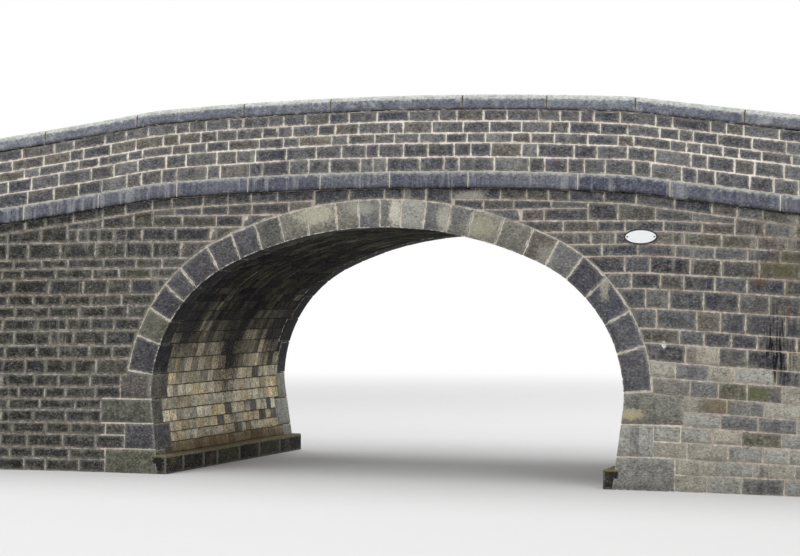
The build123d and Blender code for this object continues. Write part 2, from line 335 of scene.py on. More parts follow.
def block(columns, rows, layers=1, segments=1, open_back=True):
    """A block of unit size with its arrises taken off, cut into columns, rows and layers.

    An open block shows its front and runs back into the wall; its back arrises stay sharp.
    """
    bpy.ops.object.select_all(action="DESELECT")
    bpy.ops.mesh.primitive_cube_add(size=1, location=(0.5, 0.5, -0.5))
    piece = bpy.context.object
    bpy.ops.object.transform_apply(location=True, rotation=False, scale=False)
    bpy.ops.object.mode_set(mode="EDIT")
    if open_back:
        select_faces(piece.data, lambda face: face.normal.z < -0.5)
        bpy.ops.mesh.delete(type="ONLY_FACE")
        select_faces(piece.data, lambda face: face.normal.z > 0.5)
    else:
        bpy.ops.mesh.select_all(action="SELECT")
    bpy.ops.mesh.bevel(offset=BEVEL, segments=segments, affect="EDGES")
    for axis, count, sign in ((0, columns, 1), (1, rows, 1), (2, layers, -1)):
        for k in range(1, count):
            normal = [float(axis == other) for other in range(3)]
            bpy.ops.mesh.select_all(action="SELECT")
            bpy.ops.mesh.bisect(plane_co=[sign * k / count * share for share in normal], plane_no=normal)
    return taken(piece)


WALL_BLOCK = block(4, 3)
RING_BLOCK = block(5, 4, 3, segments=2, open_back=False)
CAP_BLOCK = block(8, 2, 8, segments=2, open_back=False)
LONG_BLOCK = block(12, 3, 3, segments=3, open_back=False)
BED_BLOCK = block(64, 2, 2, open_back=False)


# Laying

# Painted light and shade: how light a stone is painted at its foot and at its head
PAINTED_LIGHT_FROM_ABOVE = (0.62, 1.12)
# Painted shadow along the lower edge of the string course and the coping
PAINTED_SHADOW_BELOW = (0.2, 1.15)
# Painted shadow at the head of the top course, under the string course
PAINTED_SHADOW_ABOVE = (0.85, 0.15)
UNIFORM = (1.0, 1.0)


def spread(values, low, high):
    """Stretches a block's coordinate so that its bevels, BEVEL wide on the block, take the two shares given."""
    return np.interp(values, (0, BEVEL, 1 - BEVEL, 1), (0, low, 1 - high, 1))


def value_of(edge, other):
    """A side of a cell is a number, or a function of the other coordinate."""
    return edge(other) if callable(edge) else np.full_like(other, edge)


class Masonry:
    """Stones gathered into one piece, each with its own tint and its own part of every pattern."""

    def __init__(self, name, seed):
        self.name = name
        self.random = random.Random(seed)
        self.points, self.faces = [], []
        self.tints, self.insets, self.shifts = [], [], []
        self.count = 0

    def add(self, points, faces, tint, inset, light=1.0):
        """Adds one finished stone; light, painted light and shade kept as alpha, makes its tint lighter or darker from
        point to point.
        """
        shift = self.random.random()
        light = np.broadcast_to(light, len(points))
        self.points.append(points)
        self.faces += [tuple(self.count + corner for corner in face) for face in faces]
        self.tints.append(np.column_stack((np.outer(light, tint), light)))
        self.insets.append(inset)
        self.shifts.append(np.full(len(points), shift))
        self.count += len(points)

    def roughen(self, points, amount, scale):
        """Uneven hewn relief, one value for each point."""
        shift = Vector([self.random.uniform(-50, 50) for _ in range(3)])
        return np.array([amount * noise.noise(Vector(p) * scale + shift) for p in points])

    def lay(self, surface, cell, tint, joint, proud, arris=0.007, relief=0.006, slack=0.003, grade=PAINTED_LIGHT_FROM_ABOVE):
        """Fits an open block into a cell: (left, right, bottom, top) in a surface's coordinates."""
        left, right, bottom, top = cell
        (u, v, w), faces = WALL_BLOCK[0].T, WALL_BLOCK[1]
        pick = self.random.uniform
        middle = np.array([0.5])
        level = value_of(bottom, middle if callable(left) else value_of(left, middle))
        ends = value_of(left, level), value_of(right, level)
        centre = (ends[0] + ends[1]) / 2
        width = (ends[1] - ends[0])[0]
        height = (value_of(top, centre) - value_of(bottom, centre))[0]
        gap_u, gap_v = joint / 2 / width, joint / 2 / height
        corner = pick(0.1, 0.7) * arris
        size = arris * pick(0.7, 1.4)
        inner_u = gap_u + (1 - 2 * gap_u) * spread(u, size / width, size / width)
        inner_v = gap_v + (1 - 2 * gap_v) * spread(v, size / height, size / height)
        at_corner = (np.minimum(u, 1 - u) < 1e-4) & (np.minimum(v, 1 - v) < 1e-4)
        inner_u += np.where(at_corner, corner / width, 0) * np.sign(0.5 - u)
        inner_v += np.where(at_corner, corner / height, 0) * np.sign(0.5 - v)
        shifts = [pick(-slack, slack) for _ in range(8)]
        a = ends[0] + inner_u * (ends[1] - ends[0])
        b = value_of(bottom, a) + inner_v * (value_of(top, a) - value_of(bottom, a))
        a = value_of(left, b) + inner_u * (value_of(right, b) - value_of(left, b))
        a = a + (shifts[0] * (1 - v) + shifts[1] * v) * (1 - u) + (shifts[2] * (1 - v) + shifts[3] * v) * u
        b = b + (shifts[4] * (1 - u) + shifts[5] * u) * (1 - v) + (shifts[6] * (1 - u) + shifts[7] * u) * v
        out = np.interp(w, (-1, -BEVEL, 0), (-STONE_DEPTH, proud - size, proud))
        flat = surface(a, b, np.zeros_like(a))
        front = w > -BEVEL / 2
        lean = pick(-1, 1) * (u - 0.5) + pick(-1, 1) * (v - 0.5)
        swell = pick(0.3, 1.2) * relief * np.sqrt(np.clip(16 * u * (1 - u) * v * (1 - v), 0, 1))
        hewn = self.roughen(flat, relief, 11.0) + 0.35 * relief * lean + swell
        out = out + np.where(front, np.maximum(hewn, 0.002 - proud), 0.3 * hewn * (w > -0.5))
        inset = (np.minimum(inner_u - gap_u, 1 - gap_u - inner_u) * width,
                 np.minimum(inner_v - gap_v, 1 - gap_v - inner_v) * height, 0 * u)
        # Painted light and shade go with the tint: darker at the stone's foot and lighter at its head, as grade gives
        self.add(surface(a, b, out), faces, tint, np.where(front, np.maximum(inset, 0), 0).T,
                 np.interp(v, (0, 0.35, 0.7, 1), (grade[0], 1, 1, grade[1])))

    def fit(self, shape, place, size, tint, arris, relief=0.004, top_arris=None, grade=PAINTED_LIGHT_FROM_ABOVE):
        """Fits a closed block, whose size is given, into a body: place(u, v, w) from 0 to 1 on each."""
        (u, v, w), faces = shape[0].T, shape[1]
        w = 1 + w
        round_top = arris if top_arris is None else top_arris
        rounding = arris + (round_top - arris) * (v > 0.5)
        u = spread(u, arris / size[0], arris / size[0])
        w = np.where(v > 0.5, spread(w, round_top / size[2], round_top / size[2]),
                     spread(w, arris / size[2], arris / size[2]))
        v = spread(v, arris / size[1], round_top / size[1])
        points = place(u, v, w)
        inset = np.stack([np.minimum(c, 1 - c) * length for c, length in zip((u, v, w), size)])
        fade = np.clip(np.sort(inset, axis=0)[1] / (2 * rounding), 0.15, 1)
        away = points - points.mean(axis=0)
        away /= np.maximum(np.linalg.norm(away, axis=1), 1e-6)[:, None]
        dents = np.minimum(self.roughen(points, relief, 9.0), 0) * fade
        # Painted light and shade go with the tint: darker at the stone's foot and lighter at its head, as grade gives
        self.add(points + away * dents[:, None], faces, tint, np.maximum(inset, 0).T,
                 np.interp(v, (0, 0.3, 0.8, 1), (grade[0], 1, 1, grade[1])))

    def finish(self, material, slot, *nodes, turned=False):
        """Makes the piece; a turned one is the same wall on the other side of the bridge."""
        points = np.concatenate(self.points)
        if turned:
            points = points * (-1, -1, 1)
        mesh = bpy.data.meshes.new(self.name)
        mesh.from_pydata(points.tolist(), [], self.faces)
        mesh.materials.append(material)
        for label, kind, field, values in (
            ("stone_tint", "FLOAT_COLOR", "color", self.tints), ("inset", "FLOAT_VECTOR", "vector", self.insets),
            ("shift", "FLOAT", "value", self.shifts),
        ):
            mesh.attributes.new(label, kind, "POINT").data.foreach_set(field, np.concatenate(values).ravel())
        piece = bpy.data.objects.new(self.name, mesh)
        bpy.context.scene.collection.objects.link(piece)
        finish_piece(piece, slot, *nodes)


def finish_piece(piece, slot, *nodes):
    """Smooths a piece over its bevels, and ties it to the frame."""
    bpy.ops.object.select_all(action="DESELECT")
    piece.select_set(True)
    bpy.context.view_layer.objects.active = piece
    bpy.ops.object.shade_smooth_by_angle(angle=math.radians(50))
    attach(piece, "root")
    if nodes:
        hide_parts(*nodes)


def mortar_core(name, seed, shape, place, size, material, slot, turned, top_arris=None):
    """The mortar behind the stones of a piece, as one smooth block."""
    core = Masonry(name + "_bed", seed)
    core.fit(shape, place, size, LIME, 0.01, 0.0, top_arris)
    core.finish(material, slot, turned=turned)


# Colours, as seen in the photograph


def colour(red, green, blue):
    """A colour seen as these display values, 0 to 255, in Blender's linear values."""
    return tuple(((c / 255 + 0.055) / 1.055) ** 2.4 for c in (red, green, blue))


CHARCOAL = colour(87, 86, 90)
GREY = colour(112, 112, 113)
BROWN = colour(104, 99, 91)
BLUISH = colour(79, 81, 90)
BUFF = colour(153, 145, 128)
SOOTY = colour(71, 70, 76)
OLIVE = colour(102, 99, 85)
MOSSY = colour(91, 92, 79)
# Moss, darkened further as painted shade for the shade over the left wing
MOSS_AND_PAINTED_SHADE = colour(46, 46, 42)
PALE_GREY = colour(160, 159, 152)
PALE_BUFF = colour(167, 162, 147)
RING_BUFF = colour(126, 124, 115)
RING_GREY = colour(116, 116, 113)
LIME = colour(234, 226, 217)
DUST = colour(164, 161, 152)
SPECK = colour(178, 176, 168)
STRING_BLUE = colour(84, 87, 103)
STRING_GREY = colour(108, 110, 120)
COPING_GREY = colour(126, 130, 140)
COPING_BLUE = colour(111, 114, 128)
# Soffit tones: the dark ones are soot darkened further as painted shade under the arch; the buff and ochre ones are
# paler than the stone, as painted light low in the arch
SOFFIT_DARK = colour(37, 35, 36)
SOFFIT_BLACK = colour(19, 19, 24)
SOFFIT_OLIVE = colour(60, 59, 44)
SOFFIT_BUFF = colour(234, 226, 203)
SOFFIT_OCHRE = colour(229, 211, 173)
RUBBLE = colour(135, 124, 109)

PARAPET_STONES = (CHARCOAL, CHARCOAL, GREY, BROWN, BLUISH, GREY, CHARCOAL)
UNDER_STRING_STONES = (CHARCOAL, BLUISH, SOOTY, BROWN)
RIGHT_STONES = (CHARCOAL, SOOTY, GREY, BLUISH, BROWN, CHARCOAL, SOOTY)
FAR_RIGHT_STONES = (OLIVE, BROWN, GREY, BROWN, OLIVE)
LEFT_STONES = (CHARCOAL, BROWN, SOOTY, MOSSY, MOSSY)
FOOT_STONES = (PALE_GREY, PALE_BUFF, PALE_GREY, GREY, PALE_BUFF, OLIVE)
QUOIN_STONES = (RING_GREY, PALE_GREY, RING_BUFF)
FIRST_CROWN_STONE = 8
CROWN_STONES = (
    RING_BUFF, RING_BUFF, RING_BUFF, GREY, RING_GREY, PALE_GREY, GREY, RING_GREY, RING_BUFF, RING_BUFF, BROWN, GREY,
)
# Painted light: low vault stones paler than the stone, for the light that reaches low in the arch
LOW_VAULT_STONES = (SOFFIT_BUFF, SOFFIT_BUFF, SOFFIT_OCHRE, PALE_BUFF, SOFFIT_OCHRE)
DARK_VAULT_SHARE = 0.07
PIER_STONES = (GREY, BROWN, CHARCOAL, GREY)
ROAD_STONES = (GREY, BUFF, BROWN, PALE_GREY)

# Painted shade: how much of its tint a wall's stones keep, for the shade the wall stands in
RIGHT_PAINTED_SHADE = 0.8
LEFT_PAINTED_SHADE = 0.64


def clamp(value, high=1.0):
    """A value kept between nothing and a limit."""
    return min(max(value, 0.0), high)


def mingle(first, second, share):
    """Part of the way from one colour to another."""
    return tuple(a + (b - a) * share for a, b in zip(first, second))


def lit(tint, light):
    """A tint made lighter or darker by a factor: random tone, and painted shade on the walls."""
    return tuple(light * c for c in tint)


def pick_tint(source, stones, spread_of_light=0.16):
    """One stone's colour: one of a few, or between two of them, a little lighter or darker."""
    tint = mingle(source.choice(stones), source.choice(stones), source.random() * 0.6)
    return lit(tint, 1 + source.uniform(-spread_of_light, spread_of_light))


def wall_tint(source, s, z):
    """Colour of a stone in the face of the walls: browner outwards, and paler at the foot; darker with painted shade
    under the string course and on the right and left walls, and with moss and painted shade far out on the left wing.
    """
    if abs(s) < 3.4 and z > 3.85:
        # Painted shade under the string course
        return lit(pick_tint(source, UNDER_STRING_STONES), RIGHT_PAINTED_SHADE)
    if s < 0:
        return lit(mingle(pick_tint(source, LEFT_STONES), MOSS_AND_PAINTED_SHADE, clamp((-s - 3.0) / 3, 0.9)), LEFT_PAINTED_SHADE)
    if source.random() < (2.2 - z) / 0.8:
        return pick_tint(source, FOOT_STONES)
    outwards = (s - 4.9) / 1.6 + (z - 2.6) * 0.25
    return lit(pick_tint(source, FAR_RIGHT_STONES if source.random() < outwards else RIGHT_STONES), RIGHT_PAINTED_SHADE)


def barrel_tint(source, height):
    """Colour of a stone inside the arch: buff near the foot, painted paler there as painted light, with a few dark
    ones, and dark overhead, soot with painted shade.
    """
    low = pick_tint(source, LOW_VAULT_STONES, 0.14)
    if source.random() < DARK_VAULT_SHARE:
        low = mingle(low, CHARCOAL, 0.85)
    low = mingle(low, BROWN, 0.6 * clamp((0.75 - height) / 0.4))
    middle = pick_tint(source, (OLIVE, BUFF, BROWN), 0.15)
    # Painted shade overhead, with soot
    high = pick_tint(source, (SOFFIT_DARK, SOFFIT_BLACK, SOFFIT_OLIVE), 0.2)
    share = clamp((height - 1.15) / 1.6 + source.uniform(-0.2, 0.2))
    return mingle(low, middle, 2 * share) if share < 0.5 else mingle(middle, high, 2 * share - 1)


def voussoir_tint(source, number, t):
    """Colour of a voussoir: as seen at the crown, and dark down the haunches."""
    if 0 <= number - FIRST_CROWN_STONE < len(CROWN_STONES):
        return pick_tint(source, (CROWN_STONES[number - FIRST_CROWN_STONE],), 0.05)
    return pick_tint(source, (CHARCOAL, SOOTY, BLUISH) if t > 0 else (MOSSY, CHARCOAL, SOOTY), 0.12)


# Courses


def joints(source, start, end, lengths, last=()):
    """Places of the upright joints from start to end, kept off the joints of the course before."""
    shortest, longest = lengths
    places = [start]
    while end - places[-1] > longest * 1.25:
        for _ in range(6):
            place = places[-1] + source.uniform(shortest, longest)
            if all(abs(place - other) > 0.25 * shortest for other in last):
                break
        places.append(place)
    if end - places[-1] > longest and end - places[-1] > 2 * shortest:
        places.append((places[-1] + end) / 2)
    return places + [end]


def uneven(line, seed, amount):
    """A course line that wanders a little."""
    shift = seed * 7.31
    return lambda s: line(s) + amount * np.sin(1.9 * s + shift) * np.sin(0.7 * s + 2.3 * shift)


def course_lines(low, high, top, seed, wander):
    """The bed joints under and over a level course; the foot and the top of the wall stay straight."""
    return [uneven(lambda s, z=z: z + 0 * s, seed + k, wander if 0 < z < top else 0.0)
            for k, z in enumerate((low, high))]


def wall_line(height, end):
    """A bed joint of the outer face: level, and dipping a little along the wing."""
    dip = min(1.0, height / 1.3) * (RIGHT_DIP if end > 0 else LEFT_DIP)
    return lambda s: height - dip * np.maximum(np.abs(s) - BEND_START, 0)


def under_top(s):
    """Bed joint under the top course, which follows the string course."""
    return humped(s, STRING_BOTTOM) - TOP_COURSE


def against_string(s):
    """Top of the top course, which closes up to the string course: its own joint is taken off a cell again."""
    return humped(s, STRING_BOTTOM) + WALL_JOINT / 2 - 0.003


def clear_of_ring(line):
    """A bed joint that rises over the back of the ring where the two meet."""
    return lambda s: np.maximum(
        line(s), extrados_height(on_curve(s, WING_RADIUS)[0]) * (np.abs(s) < HALF_SPAN + RING_DEPTH))


def highest_reach(line, end):
    """Where a course's bed joint meets the top course, as a distance along the wall."""
    places = np.linspace(0, WALL_END, 400)
    open_places = places[under_top(places) - line(end * places) > THINNEST_STONE]
    return float(open_places.max()) if len(open_places) else 0.0


def quoin_level(height, beds):
    """Number of the quoin beside a height; beds holds the heights of all their beds."""
    return max(k for k, bed in enumerate(beds[:-1]) if bed <= height)


def face_wall(name, seed, turned):
    """Stones of one outer face, from the water to the string course."""
    wall = Masonry(name, seed)
    source = wall.random
    for end, heights, beds in ((1, RIGHT_COURSES, RIGHT_QUOINS), (-1, LEFT_COURSES, LEFT_QUOINS)):
        lines = [uneven(wall_line(z, end), seed + k, COURSE_WANDER if z else 0.0) for k, z in enumerate(heights)]
        reaches = [highest_reach(line, end) for line in lines] + [WALL_END]
        lines.append(under_top)
        last = []
        for k, (height, ceiling) in enumerate(pairwise((*heights, STRING_BOTTOM - TOP_COURSE))):
            bottom, above = lines[k : k + 2]
            reach, stop = reaches[k : k + 2]
            side = None
            if height < beds[-1] - 0.01:
                level = quoin_level(height + 0.01, beds)
                start = low = high = reach_at(beds[level]) + QUOIN_LENGTHS[level % 2]
            else:
                low = reach_at(height, RING_DEPTH)
                high = reach_at(min(ceiling, SPRINGING + RISE + RING_DEPTH - 0.02) - THINNEST_STONE, RING_DEPTH)
                start = high
                if low - high < 0.3:
                    side = lambda z: end * arch_reach(z, RING_DEPTH)
                    start = (low + reach_at(ceiling, RING_DEPTH)) / 2
            if reach <= start + 0.1:
                continue
            stops = [start]
            if low - high > 0.55 and start < low < reach:
                stops.append(low)
            if stops[-1] + 0.15 < stop < reach - 0.15:
                stops.append(stop)
            places = []
            for first, second in pairwise((*stops, reach)):
                places += joints(source, first, second, FACE_LENGTHS, last)[:-1]
            places.append(reach)
            last = places
            for number, (near, far) in enumerate(pairwise(places)):
                if far - near < THINNEST_STONE:
                    continue
                middle = (near + far) / 2
                left, right = sorted((end * near, end * far))
                floor = clear_of_ring(bottom)
                if side and number == 0:
                    left, right = (side, right) if end > 0 else (left, side)
                    floor = bottom
                tint = wall_tint(source, end * middle, height + 0.1)
                wall.lay(outer_face, (left, right, floor, under_top if middle > stop else above), tint, WALL_JOINT,
                         source.uniform(*FACE_PROUD))
    crown = reach_at(under_top(0.9) - THINNEST_STONE, RING_DEPTH)
    beside = ((-WALL_END, -crown, under_top), (-crown, crown, extrados_height), (crown, WALL_END, under_top))
    for first, second, floor in beside:
        for near, far in pairwise(joints(source, first, second, TOP_LENGTHS)):
            tint = wall_tint(source, (near + far) / 2, 4.0)
            # Painted shadow at the head of these stones, under the string course
            wall.lay(outer_face, (near, far, floor, against_string), tint, WALL_JOINT, source.uniform(*FACE_PROUD),
                     grade=PAINTED_SHADOW_ABOVE)
    wall.finish(walling, "walling_stone", turned=turned)


def parapet_wall(name, seed, surface, turned):
    """Stones of one face of a parapet, in courses that follow the hump."""
    wall = Masonry(name, seed)
    source = wall.random
    places = []
    for k, (low, high) in enumerate(pairwise(PARAPET_COURSES)):
        lines = course_lines(low, high, PARAPET_HEIGHT, seed + k, COURSE_WANDER)
        places = joints(source, -WALL_END, WALL_END, PARAPET_LENGTHS, places)
        for near, far in pairwise(places):
            tint = pick_tint(source, PARAPET_STONES, 0.2)
            wall.lay(surface, (near, far, *lines), tint, PARAPET_JOINT, source.uniform(*PARAPET_PROUD), relief=0.012)
    wall.finish(parapet_stone, "walling_stone", turned=turned)


def arch_ring(name, seed, turned):
    """Voussoirs of one face, each a wedge that shows its front and its underside."""
    ring = Masonry(name, seed)
    source = ring.random
    gap = RING_JOINT / 2
    top = RING_DEPTH - gap
    for number, (near, far) in enumerate(pairwise(VOUSSOIR_JOINTS)):
        tail = VOUSSOIR_TAILS[number % 2]
        front = source.uniform(*VOUSSOIR_PROUD)
        under = source.uniform(*VOUSSOIR_DROP)

        def place(u, v, w):
            t = near + gap + u * (far - near - 2 * gap)
            return ring_face(t, -under + v * (top + under), front - (1 - w) * (tail + front))

        tint = voussoir_tint(source, number, (near + far) / 2)
        ring.fit(RING_BLOCK, place, (far - near, RING_DEPTH, tail), tint, 0.009, 0.006)
    ring.finish(dressed_ring, "walling_stone", turned=turned)


def quoins(name, seed, end):
    """Corner stones of one abutment, front and back, under the ring; the top one is cut to the ring's lowest joint."""
    stack = Masonry(name, seed)
    source = stack.random
    gap = WALL_JOINT / 2
    for back in (False, True):
        right = (end > 0) != back
        heights = RIGHT_QUOINS if right else LEFT_QUOINS
        foot = abs(VOUSSOIR_JOINTS[-1 if right else 0])
        toe_z, (heel_x, heel_z) = arch_point(foot)[1], arch_point(foot, RING_DEPTH)
        for k, (low, high) in enumerate(pairwise(heights)):
            long = QUOIN_LENGTHS[k % 2]
            tail = QUOIN_TAILS[k % 2]
            front = source.uniform(*QUOIN_PROUD)
            bottom = low + (gap if k else 0.0)
            outer = reach_at(low) + long
            inner_top = reach_at(high) - QUOIN_SIDE_PROUD
            heel = (heel_x - inner_top) / (outer - inner_top)
            wall_side = heel + WALL_JOINT / long
            carries_ring = k == len(heights) - 2

            def place(u, v, w):
                share = u if right else 1 - u
                top = high
                if carries_ring:
                    share = np.interp(share, (0, 0.38, 0.62, 1), (0, heel, wall_side, 1))
                    top = np.interp(share, (0, heel, wall_side), (toe_z, heel_z, high))
                z = bottom + v * (top - gap - bottom)
                inner = arch_reach(z, 0.0) - QUOIN_SIDE_PROUD
                x = inner + share * (outer - inner)
                y = -HALF_WIDTH + FACE_BATTER * z - front + (1 - w) * (tail + front)
                points = np.stack((x if right else -x, y, z), -1)
                return points * (-1, -1, 1) if back else points

            tint = pick_tint(source, QUOIN_STONES if right else LEFT_STONES, 0.1)
            stack.fit(RING_BLOCK, place, (long, high - low, tail), tint, 0.012, 0.008)
    stack.finish(walling, "walling_stone")


def tail_at(t):
    """How far the stones of the front reach in under the arch, at a place along the intrados."""
    number = int(np.searchsorted(VOUSSOIR_JOINTS, t)) - 1
    if 0 <= number < len(VOUSSOIR_WIDTHS):
        return VOUSSOIR_TAILS[number % 2]
    return QUOIN_TAILS[quoin_level(arch_point(t)[1], RIGHT_QUOINS if t > 0 else LEFT_QUOINS) % 2]


def barrel_beds():
    """Bed joints along the intrados, from ledge to ledge: each quoin and voussoir backs whole courses."""
    stops = VOUSSOIR_JOINTS[:]
    for end, heights in ((-1, LEFT_QUOINS), (1, RIGHT_QUOINS)):
        beds = [FOOTING_HEIGHT, *[z for z in heights[1:-1] if z > FOOTING_HEIGHT + 0.1]]
        stops += [end * (FOOT_LENGTH - z * BATTER_LENGTH) for z in beds]
    stops.sort()
    lines = stops[:1]
    for low, high in pairwise(stops):
        lines += np.linspace(low, high, max(1, round((high - low) / BARREL_COURSE)) + 1)[1:].tolist()
    return lines


def barrel(name, seed):
    """Stones of the underside of the arch and of the inner faces of the abutments."""
    vault = Masonry(name, seed)
    source = vault.random
    places = []
    for low, high in pairwise(barrel_beds()):
        height = arch_point((low + high) / 2)[1]
        edge = HALF_WIDTH - FACE_BATTER * height
        front, back = [max(tail_at(side * (low + 0.01)), tail_at(side * (high - 0.01))) for side in (1, -1)]
        lengths = LOW_VAULT_LENGTHS if height < 2.0 else HIGH_VAULT_LENGTHS
        places = joints(source, -edge + front + 0.01, edge - back - 0.01, lengths, places)
        for near, far in pairwise(places):
            tint = barrel_tint(source, height)
            vault.lay(soffit, (near, far, low, high), tint, BARREL_JOINT, source.uniform(*VAULT_PROUD), grade=UNIFORM)
    vault.finish(vaulting, "walling_stone")


def dressed_band(name, seed, nodes, turned, lengths, crest, height, outer, inner, tints, arris, top_arris, material,
                 bedding):
    """Long dressed stones of the full section, end to end along the front wall, over a bed of mortar."""
    band = Masonry(name, seed)
    source = band.random
    share = 2 * WALL_END / sum(lengths)
    depth = HALF_WIDTH - HALF_ROAD
    start = -WALL_END

    def section(s, v, w, inset=0.0):
        """A point of the band: v up it, and w through it from its inner to its outer face."""
        z = humped(s, crest) + inset + v * (height - 2 * inset)
        within = WING_INNER_RADIUS + inner - inset
        beyond = WING_RADIUS + FACE_BATTER * z - outer + inset
        x, y = on_curve(s, within + w * (beyond - within))
        return np.stack((x, y, z), -1)

    for length in lengths:
        low, high = start + DRESSED_JOINT / 2, start + length * share - DRESSED_JOINT / 2
        start += length * share
        # Painted shadow along the lower edge of each band stone
        band.fit(LONG_BLOCK, lambda u, v, w: section(low + u * (high - low), v, w), (high - low, height, depth),
                 pick_tint(source, tints, 0.08), arris, 0.004, top_arris, PAINTED_SHADOW_BELOW)
    band.finish(material, "dressed_stone", *nodes, turned=turned)

    reach = WALL_END - 0.01
    mortar_core(name, seed, BED_BLOCK, lambda u, v, w: section((2 * u - 1) * reach, v, w, BED_INSET),
                (2 * reach, height, depth), bedding, "dressed_stone", turned, max(top_arris - BED_INSET, 0.01))


def end_pier(name, seed, end, node, turned):
    """Ashlar pier at the end of a wing, with its weathered capstone, over a core of mortar."""
    pier = Masonry(name, seed)
    source = pier.random
    end_x = STRAIGHT_HALF + WING_INNER_RADIUS * math.sin(WING_ANGLE)
    top = float(hump(end_x, COPING_TOP)) + END_PIER_RISE
    foot = WING_RADIUS - END_PIER_PROUD
    within = WING_INNER_RADIUS + END_PIER_PROUD
    depth = within - foot
    gap = DRESSED_JOINT / 2

    def section(u, z, w, inset=0.0):
        """A point of the pier: u along the wall to the right, and w from its inner to its outer face."""
        reach = inset + (u if end > 0 else 1 - u) * (END_PIER_SIDE - 2 * inset)
        beyond = foot + FACE_BATTER * z + inset
        return beside_pier(end, reach, z, within - inset + w * (beyond - within + inset))

    count = round(top / PIER_COURSE)
    for k in range(count):
        low, high = top * k / count, top * (k + 1) / count
        split = source.uniform(0.4, 0.6)
        for first, second in ((0, split), (split, 1)):
            tint = pick_tint(source, PIER_STONES, 0.1)

            def place(u, v, w):
                z = low + gap * (k > 0) + v * (high - low - gap * (k > 0) - gap)
                share = first + gap * (first > 0) + (second - first - gap) * (u if k % 2 else w)
                return section(share, z, w) if k % 2 else section(u, z, share)

            part = second - first
            size = (part * END_PIER_SIDE, high - low, depth) if k % 2 else (END_PIER_SIDE, high - low, part * depth)
            pier.fit(RING_BLOCK, place, size, tint, 0.012, 0.005)

    cap_outer = foot + FACE_BATTER * top - END_CAP_OVERHANG
    cap_inner = within + END_CAP_OVERHANG
    cap_length = END_PIER_SIDE + 2 * END_CAP_OVERHANG

    def cap_place(u, v, w):
        reach = -END_CAP_OVERHANG + (u if end > 0 else 1 - u) * cap_length
        edge = np.minimum(np.minimum(u, 1 - u) * cap_length, np.minimum(w, 1 - w) * (cap_inner - cap_outer))
        peak = END_CAP_PEAK * np.minimum(edge / CAP_SLOPE_LENGTH, 1) * (v > 0.999)
        return beside_pier(end, reach, top + v * END_CAP_HEIGHT + peak, cap_inner + w * (cap_outer - cap_inner))

    pier.fit(CAP_BLOCK, cap_place, (cap_length, END_CAP_HEIGHT, cap_inner - cap_outer),
             pick_tint(source, PIER_STONES, 0.05), 0.018, 0.006)
    pier.finish(dressed, "dressed_stone", node, turned=turned)
    mortar_core(name, seed, RING_BLOCK, lambda u, v, w: section(u, 0.01 + v * (top - 0.01), w, BED_INSET),
                (END_PIER_SIDE, top, depth), mortar, "dressed_stone", turned)


def footing(name, seed, node, turned):
    """Kerb stones of the ledge at the foot of the left abutment."""
    ledge = Masonry(name, seed)
    source = ledge.random
    toe = -HALF_SPAN + PIER_BATTER * SPRINGING
    front = toe + FOOTING_PROJECTION
    back = toe - 0.1
    for near, far in pairwise(joints(source, -HALF_WIDTH, HALF_WIDTH, KERB_LENGTHS)):
        low, high = near + 0.5 * WALL_JOINT * (near > -HALF_WIDTH), far - 0.5 * WALL_JOINT * (far < HALF_WIDTH)
        sunk = source.uniform(0, 0.008)

        def place(u, v, w):
            return np.stack((back + w * (front - back), low + u * (high - low), v * (FOOTING_HEIGHT - sunk)), -1)

        tint = pick_tint(source, (SOFFIT_DARK, SOFFIT_BLACK, SOFFIT_OLIVE), 0.15)
        ledge.fit(RING_BLOCK, place, (high - low, FOOTING_HEIGHT, front - back), tint, 0.015, 0.012, 0.025)
    ledge.finish(footing_stone, "walling_stone", node, turned=turned)

    def bed_place(u, v, w):
        y = (HALF_WIDTH - BED_INSET) * (2 * u - 1)
        return np.stack((back + w * (front - BED_INSET - back), y, v * (FOOTING_HEIGHT - BED_INSET)), -1)

    mortar_core(name, seed, RING_BLOCK, bed_place, (WIDTH_AT_WATER, FOOTING_HEIGHT, front - back), dark_mortar,
                "walling_stone", turned)


def end_rubble(name, seed, turned):
    """Rough rubble that closes the end of an approach between its two piers."""
    rubble = Masonry(name, seed)
    source = rubble.random
    within = WING_INNER_RADIUS + END_PIER_PROUD
    reach = END_PIER_SIDE * math.sin(WING_ANGLE) + HALF_WIDTH + WING_RADIUS - within * math.cos(WING_ANGLE)
    top = float(hump(END_X, ROAD_TOP)) - ROAD_THICKNESS
    low, k, places = 0.0, 0, []
    while low < top - 0.05:
        high = low + source.uniform(*RUBBLE_COURSES)
        if top - high < 0.14:
            high = top
        lines = course_lines(low, high, top, k, RUBBLE_WANDER)
        places = joints(source, -reach, reach, RUBBLE_LENGTHS, places)
        for near, far in pairwise(places):
            tint = pick_tint(source, (RUBBLE, BROWN, OLIVE, GREY), 0.2)
            rubble.lay(end_face, (near, far, *lines), tint, RUBBLE_JOINT, source.uniform(*RUBBLE_PROUD),
                       arris=0.018, relief=0.02, slack=0.012)
        low, k = high, k + 1
    rubble.finish(rubble_stone, "rubble_fill", turned=turned)


